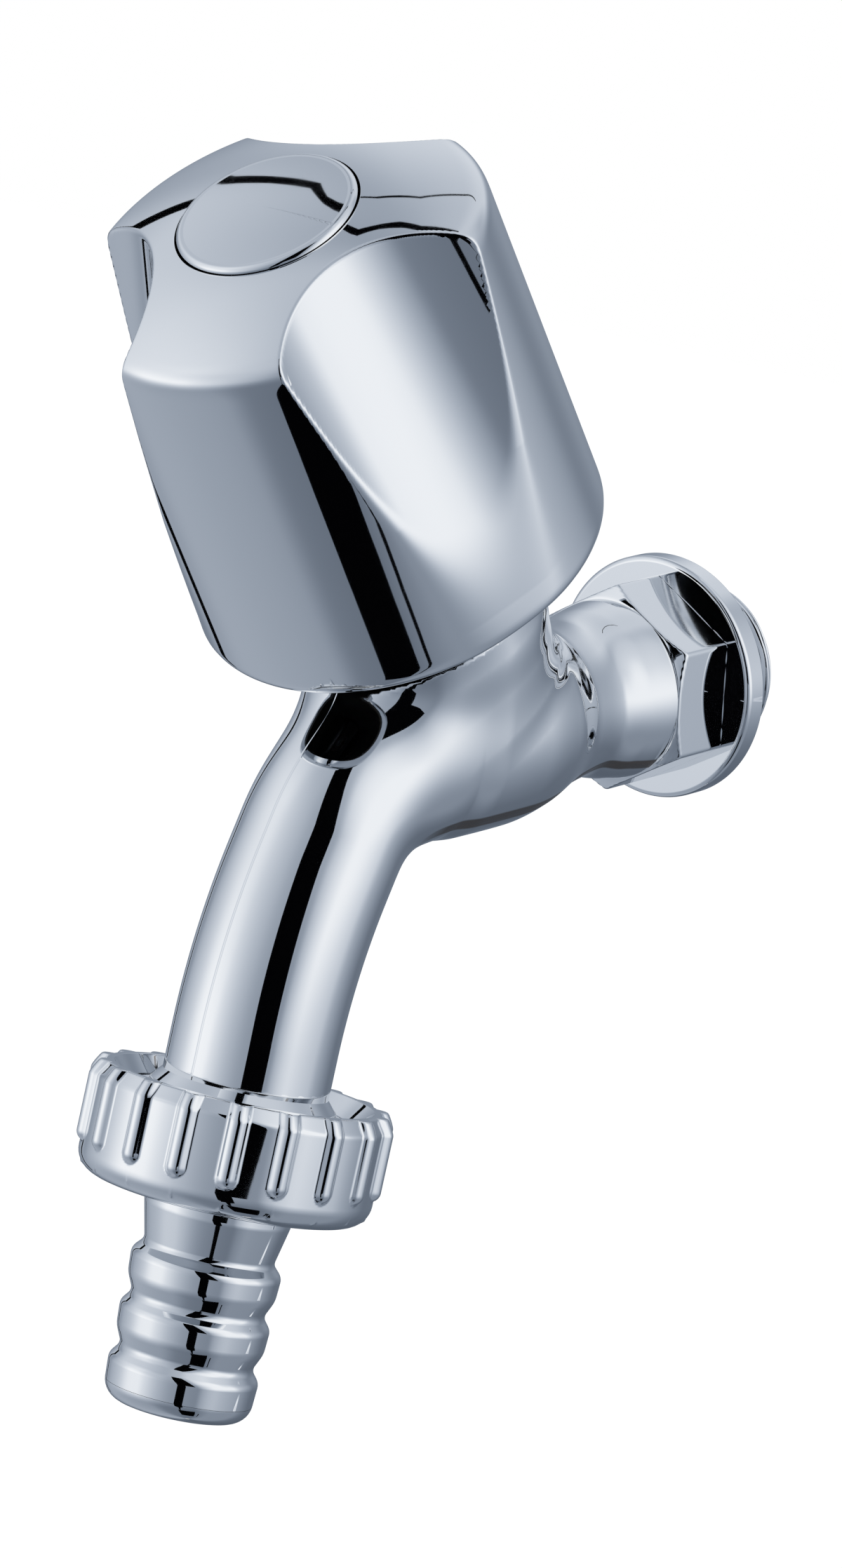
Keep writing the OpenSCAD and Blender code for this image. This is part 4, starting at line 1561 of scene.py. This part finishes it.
@dataclass
class LightTent:
    """The cloth tent round the tap, whose walls the chrome mirrors.

    Directions are in degrees: round the tap from the front towards +X, and up from the
    horizon. Shades run from 0, black, to 1, white, as the eye sees them.

    Attributes:
        radius: Radius of the tent, in mm.
        centre: Its centre, in mm.
        ground: Shade of the cloth underfoot.
        horizon: Shade of the walls at the tap's height, brightest where a lamp stands behind.
        upper: Shade of the walls above it.
        roof: Shade of the cloth overhead.
        rise: Elevations of these four rings.
        cast: How far a middle shade of the cloth leans in red, green and blue.
        mesh: Size of the cloth's faces, in degrees.
        glow_strength: Brightness of a white patch of cloth.
        board_hang: How far out the boards hang, as a share of the radius.
        board_steps: Number of steps between two points of a board's outline.
        boards: The slot that the camera looks through, in its steps, and the dark battens.
    """

    radius: float = 1500.0
    centre: Place = (0.0, -55.0, 10.0)
    ground: SmoothCurve = SmoothCurve(
        (-180, -150, -125, -110, -90, -60, -15, 15, 31, 61, 75, 90, 140, 165, 180),
        (0.40, 0.36, 0.40, 0.58, 0.64, 0.62, 0.58, 0.46, 0.44, 0.42, 0.49, 0.54, 0.53, 0.44, 0.40),
    )
    horizon: SmoothCurve = SmoothCurve(
        (-180, -160, -135, -120, -111, -102, -90, -66, -42, -27, -15)
        + (9, 31, 63, 72, 84, 96, 128, 144, 165, 180),
        (0.50, 0.56, 0.56, 0.62, 0.70, 0.55, 0.66, 0.80, 0.95, 0.94, 0.86)
        + (0.69, 0.58, 0.55, 0.71, 0.86, 0.935, 0.93, 0.74, 0.60, 0.50),
    )
    upper: SmoothCurve = SmoothCurve(
        (-180, -150, -135, -120, -105, -90, -60, -40, -15)
        + (9, 31, 61, 75, 90, 110, 125, 142, 160, 180),
        (0.80, 0.83, 0.80, 0.66, 0.77, 0.79, 0.86, 0.88, 0.79)
        + (0.70, 0.62, 0.65, 0.84, 0.92, 0.94, 0.84, 0.78, 0.68, 0.80),
    )
    roof: SmoothCurve = SmoothCurve(
        (-180, -150, -120, -100, -60, 0, 60, 90, 140, 180),
        (0.77, 0.72, 0.63, 0.61, 0.72, 0.66, 0.70, 0.80, 0.78, 0.77),
    )
    rise: tuple[float, ...] = (-40.0, 2.0, 34.0, 74.0)
    cast: Place = (-0.036, 0.0, 0.052)
    mesh: float = 1.5
    glow_strength: float = 1.1
    board_hang: float = 0.98
    board_steps: int = 20
    boards: tuple[Board, ...] = (
        Board("slot_above", ((33.5, -3), (33.3, 5), (27.5, 62)), ((61.5, -3), (61.0, 5), (55.5, 62))),
        Board(
            "slot_before_table",
            ((38.5, -38), (38.5, -26), (33.5, -22), (33.5, -3)),
            ((41.0, -38), (42.0, -26), (46.0, -22), (46.0, -3)),
        ),
        Board("slot_below", ((36.5, -66), (36.5, -38)), ((64.0, -66), (64.0, -38))),
        Board("batten_below", ((69.5, -66), (69.5, -48)), ((71.5, -66), (71.5, -48))),
        Board(
            "batten_behind",
            ((-112.5, -34), (-111.0, 10), (-111.1, 30), (-111.2, 36))
            + ((-111.2, 51), (-108.2, 54.5), (-103.1, 68), (-103.0, 71)),
            ((-108.4, -34), (-107.6, 10), (-108.2, 30), (-109.4, 36))
            + ((-109.4, 51), (-106.0, 55.5), (-98.5, 69), (-97.7, 70.5)),
        ),
        Board(
            "roof_seam",
            ((-117, 59.6), (-122, 61.6), (-129, 62.6), (-135, 63.6), (-170, 57.3)),
            ((-117, 60.3), (-122, 62.4), (-129, 63.5), (-135, 64.3), (-170, 57.9)),
        ),
        Board(
            "roof_rail",
            ((-98, 69.5), (-110, 70.8), (-123, 71.8), (-133, 74.0), (-165, 74.8)),
            ((-98, 71.5), (-110, 72.5), (-123, 74.2), (-133, 76.2), (-165, 76.4)),
        ),
    )

    def shade(self, azimuth: Array, elevation: Array) -> Array:
        """Shade of the cloth in each direction.

        Args:
            azimuth: Bearings, in degrees.
            elevation: Elevations, in degrees.

        Returns:
            The shades.
        """
        rings = [ring(azimuth) for ring in (self.ground, self.horizon, self.upper, self.roof)]
        level = rings[0]
        for ring, low, high in zip(rings[1:], self.rise, self.rise[1:]):
            level = level + (ring - level) * soft_step(elevation, low, high)
        return level

    def place(self, azimuth: Array, elevation: Array, radius: float) -> Array:
        """Point of the tent in each direction.

        Args:
            azimuth: Bearings, in degrees.
            elevation: Elevations, in degrees.
            radius: Distance from the centre, in mm.

        Returns:
            The points, in mm.
        """
        a, e = np.radians(azimuth), np.radians(elevation)
        way = np.stack([np.sin(a) * np.cos(e), -np.cos(a) * np.cos(e), np.sin(e)], -1)
        return way * radius + np.array(self.centre)

    def cloth(self) -> bpy.types.Object:
        """The cloth itself, with its shades painted point by point.

        Returns:
            The cloth.
        """
        azimuth = np.arange(-180.0, 180.0, self.mesh)
        elevation = np.arange(-90.0 + self.mesh, 89.0, self.mesh)
        a, e = np.meshgrid(azimuth, elevation)
        points = self.place(a, e, self.radius).reshape(-1, 3)
        tent = make_piece("light_tent_cloth", points, grid_faces(len(elevation), len(azimuth)))
        level = self.shade(a, e).ravel()[:, None]
        seen = np.clip(level + 4 * level * (1 - level) * np.array(self.cast), 0, 1)
        rgba = np.concatenate([linear_light(seen), np.ones_like(level)], 1)
        paint = tent.data.color_attributes.new("cloth_shade", "FLOAT_COLOR", "POINT")
        paint.data.foreach_set("color", rgba.ravel())
        return tent

    def cut(self, board: Board) -> bpy.types.Object:
        """Cuts one board, bent to the tent's wall and hung just inside it.

        Args:
            board: Its outline.

        Returns:
            The board.
        """
        sides = []
        for side in (np.array(board.near, float), np.array(board.far, float)):
            stops = np.linspace(0, len(side) - 1, self.board_steps * (len(side) - 1) + 1)
            bearing, rise = (np.interp(stops, np.arange(len(side)), side[:, k]) for k in (0, 1))
            sides.append(self.place(bearing, rise, self.radius * self.board_hang))
        points = np.stack(sides, 1).reshape(-1, 3)
        faces = [(i, i + 1, i + 3, i + 2) for i in range(0, len(points) - 2, 2)]
        return make_piece(board.name, points, faces)

    def glow(self, name: str, paint: str | None = None) -> bpy.types.Material:
        """Cloth lit from behind in its painted shades, or a board of one colour.

        Args:
            name: Name of the material.
            paint: Colour of the board, or None for the cloth.

        Returns:
            The material.
        """
        material = bpy.data.materials.new(name)
        tree = blank_tree(material)
        if paint is None:
            shades = add_node(tree, "ShaderNodeAttribute", attribute_name="cloth_shade").outputs["Color"]
        else:
            shades = colour(paint)
        shine = add_node(tree, "ShaderNodeEmission", {"Color": shades, "Strength": self.glow_strength})
        add_node(tree, "ShaderNodeOutputMaterial", {"Surface": shine.outputs[0]})
        return material

    def hang(self, board: bpy.types.Object, material: bpy.types.Material) -> None:
        """Hangs a cloth or a board where only mirrors see it.

        Args:
            board: The cloth or the board.
            material: What it is made of.
        """
        board.data.materials.append(material)
        for kind in ("camera", "diffuse", "shadow", "transmission"):
            setattr(board, f"visible_{kind}", False)

    def build(self) -> None:
        """Hangs the cloth and the boards."""
        self.hang(self.cloth(), self.glow("white_tent_cloth"))
        for board in self.boards:
            self.hang(self.cut(board), self.glow(f"painted_{board.name}", board.paint))


@dataclass(frozen=True)
class Lamp:
    """A soft square lamp aimed at the tap, too wide to cast a hard shadow.

    Attributes:
        name: Its name.
        place: Where it stands, in mm.
        power: Its power, in watts.
        size: Its width, in mm.
        aim: The point that it faces, in mm.
    """

    name: str
    place: Place
    power: float
    size: float = 900.0
    aim: Place = (0.0, -50.0, 10.0)

    def build(self) -> None:
        """Sets up the lamp, unseen in the chrome."""
        light = bpy.data.lights.new(self.name, "AREA")
        light.shape = "SQUARE"
        light.size = self.size * MM
        light.energy = self.power
        lamp = bpy.data.objects.new(self.name, light)
        bpy.context.scene.collection.objects.link(lamp)
        turn = (Vector(self.aim) - Vector(self.place)).to_track_quat("-Z", "Y").to_matrix().to_4x4()
        lamp.matrix_world = Matrix.Translation(Vector(self.place) * MM) @ turn
        lamp.visible_glossy = False


@dataclass
class Studio:
    """Floor, lamps, tent and world.

    Attributes:
        floor_z: Height of the floor, in mm.
        floor_reach: Half its width, in mm.
        floor_paint: Its colour.
        floor_glow: Strength of the light that takes the floor to the background's white.
        floor_share: Share of that light in what the camera sees, the rest being shadow.
        background: Colour of the background.
        fill: Colour of the light from all round.
        fill_strength: Strength of that light.
        lamps: The lamps.
    """

    floor_z: float = -1520.0
    floor_reach: float = 6000.0
    floor_paint: str = "#f4f4f4"
    floor_glow: float = 1.07
    floor_share: float = 0.93
    background: str = "#ffffff"
    fill: str = "#e8ecf2"
    fill_strength: float = 0.7
    lamps: tuple[Lamp, ...] = (
        Lamp("key_lamp", (900, -700, 900), 28),
        Lamp("fill_lamp", (-900, -600, 500), 12),
    )

    def see_background(self, tree: Tree) -> Socket:
        """Tells the rays that see the background.

        Args:
            tree: The nodes that ask.

        Returns:
            1 for the rays of the camera, of mirrors and of glass, and 0 for the rest.
        """
        path = add_node(tree, "ShaderNodeLightPath").outputs
        seen = reckon(tree, "ADD", path["Is Camera Ray"], path["Is Glossy Ray"])
        return reckon(tree, "ADD", seen, path["Is Transmission Ray"], use_clamp=True)

    def floor(self) -> None:
        """A plain pale floor that keeps a faint shadow."""
        reach, z = self.floor_reach, self.floor_z
        points = np.array([(-reach, -reach, z), (reach, -reach, z), (reach, reach, z), (-reach, reach, z)])
        plane = make_piece("studio_floor", points, [(0, 1, 2, 3)])
        material = bpy.data.materials.new("matt_white_floor_board")
        tree = blank_tree(material)
        board = add_node(tree, "ShaderNodeBsdfDiffuse", {"Color": colour(self.floor_paint)}).outputs[0]
        shine = {"Color": colour(self.background), "Strength": self.floor_glow}
        glow = add_node(tree, "ShaderNodeEmission", shine).outputs[0]
        kept = add_node(tree, "ShaderNodeMixShader", {0: self.floor_share, 1: board, 2: glow}).outputs[0]
        both = add_node(tree, "ShaderNodeMixShader", {0: self.see_background(tree), 1: board, 2: kept})
        add_node(tree, "ShaderNodeOutputMaterial", {"Surface": both.outputs[0]})
        plane.data.materials.append(material)

    def world(self) -> None:
        """An even pale surround, behind which the background stands."""
        world = bpy.data.worlds.new("pale_studio")
        bpy.context.scene.world = world
        tree = blank_tree(world)
        fill, backdrop = (
            add_node(tree, "ShaderNodeBackground", {"Color": colour(paint), "Strength": strength}).outputs[0]
            for paint, strength in ((self.fill, self.fill_strength), (self.background, 1.0))
        )
        both = add_node(tree, "ShaderNodeMixShader", {0: self.see_background(tree), 1: fill, 2: backdrop})
        add_node(tree, "ShaderNodeOutputWorld", {"Surface": both.outputs[0]})

    def build(self) -> None:
        """Sets up floor, world, lamps and tent."""
        self.floor()
        self.world()
        for lamp in self.lamps:
            lamp.build()
        LightTent().build()


@dataclass(frozen=True)
class Camera:
    """The photograph's view.

    Attributes:
        eye: Where the camera stands, in mm.
        right: Direction of the image's right.
        up: Direction of the image's top.
        focal: Focal length, in pixels of the photograph.
        pixels: Height of the photograph, in pixels.
        sensor: Height of the camera's sensor, in mm.
    """

    eye: Place = (451.2, -580.2, 190.2)
    right: Place = (0.7542, 0.6546, 0.0520)
    up: Place = (-0.2148, 0.1711, 0.9616)
    focal: float = 9000.0
    pixels: int = 2236
    sensor: float = 24.0

    def build(self) -> None:
        """Makes the camera and hands it to the scene."""
        data = bpy.data.cameras.new("photo_camera")
        data.sensor_fit = "VERTICAL"
        data.sensor_height = self.sensor
        data.lens = self.sensor * self.focal / self.pixels
        data.clip_start, data.clip_end = 0.01, 50.0
        camera = bpy.data.objects.new("photo_camera", data)
        bpy.context.scene.collection.objects.link(camera)
        x = Vector(self.right).normalized()
        y = (Vector(self.up) - Vector(self.up).dot(x) * x).normalized()
        turn = Matrix((x, y, x.cross(y))).transposed().to_4x4()
        camera.matrix_world = Matrix.Translation(Vector(self.eye) * MM) @ turn
        bpy.context.scene.camera = camera


def main() -> None:
    """Builds the tap's looks, its studio and its camera."""
    logging.basicConfig(level=logging.INFO, format="%(name)s: %(message)s")
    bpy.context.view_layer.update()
    layout = Layout()
    workshop = Workshop()
    for assembly in (
        Casting(layout),
        WallFlange(layout),
        Knob(layout),
        UnionNut(layout),
        HoseTail(layout),
        Headwork(),
    ):
        assembly.build(workshop)
        LOG.info("built %s", type(assembly).__name__)
    Studio().build()
    Camera().build()
    scene = bpy.context.scene
    scene.view_settings.view_transform = "Standard"


if __name__ == "__main__":
    main()
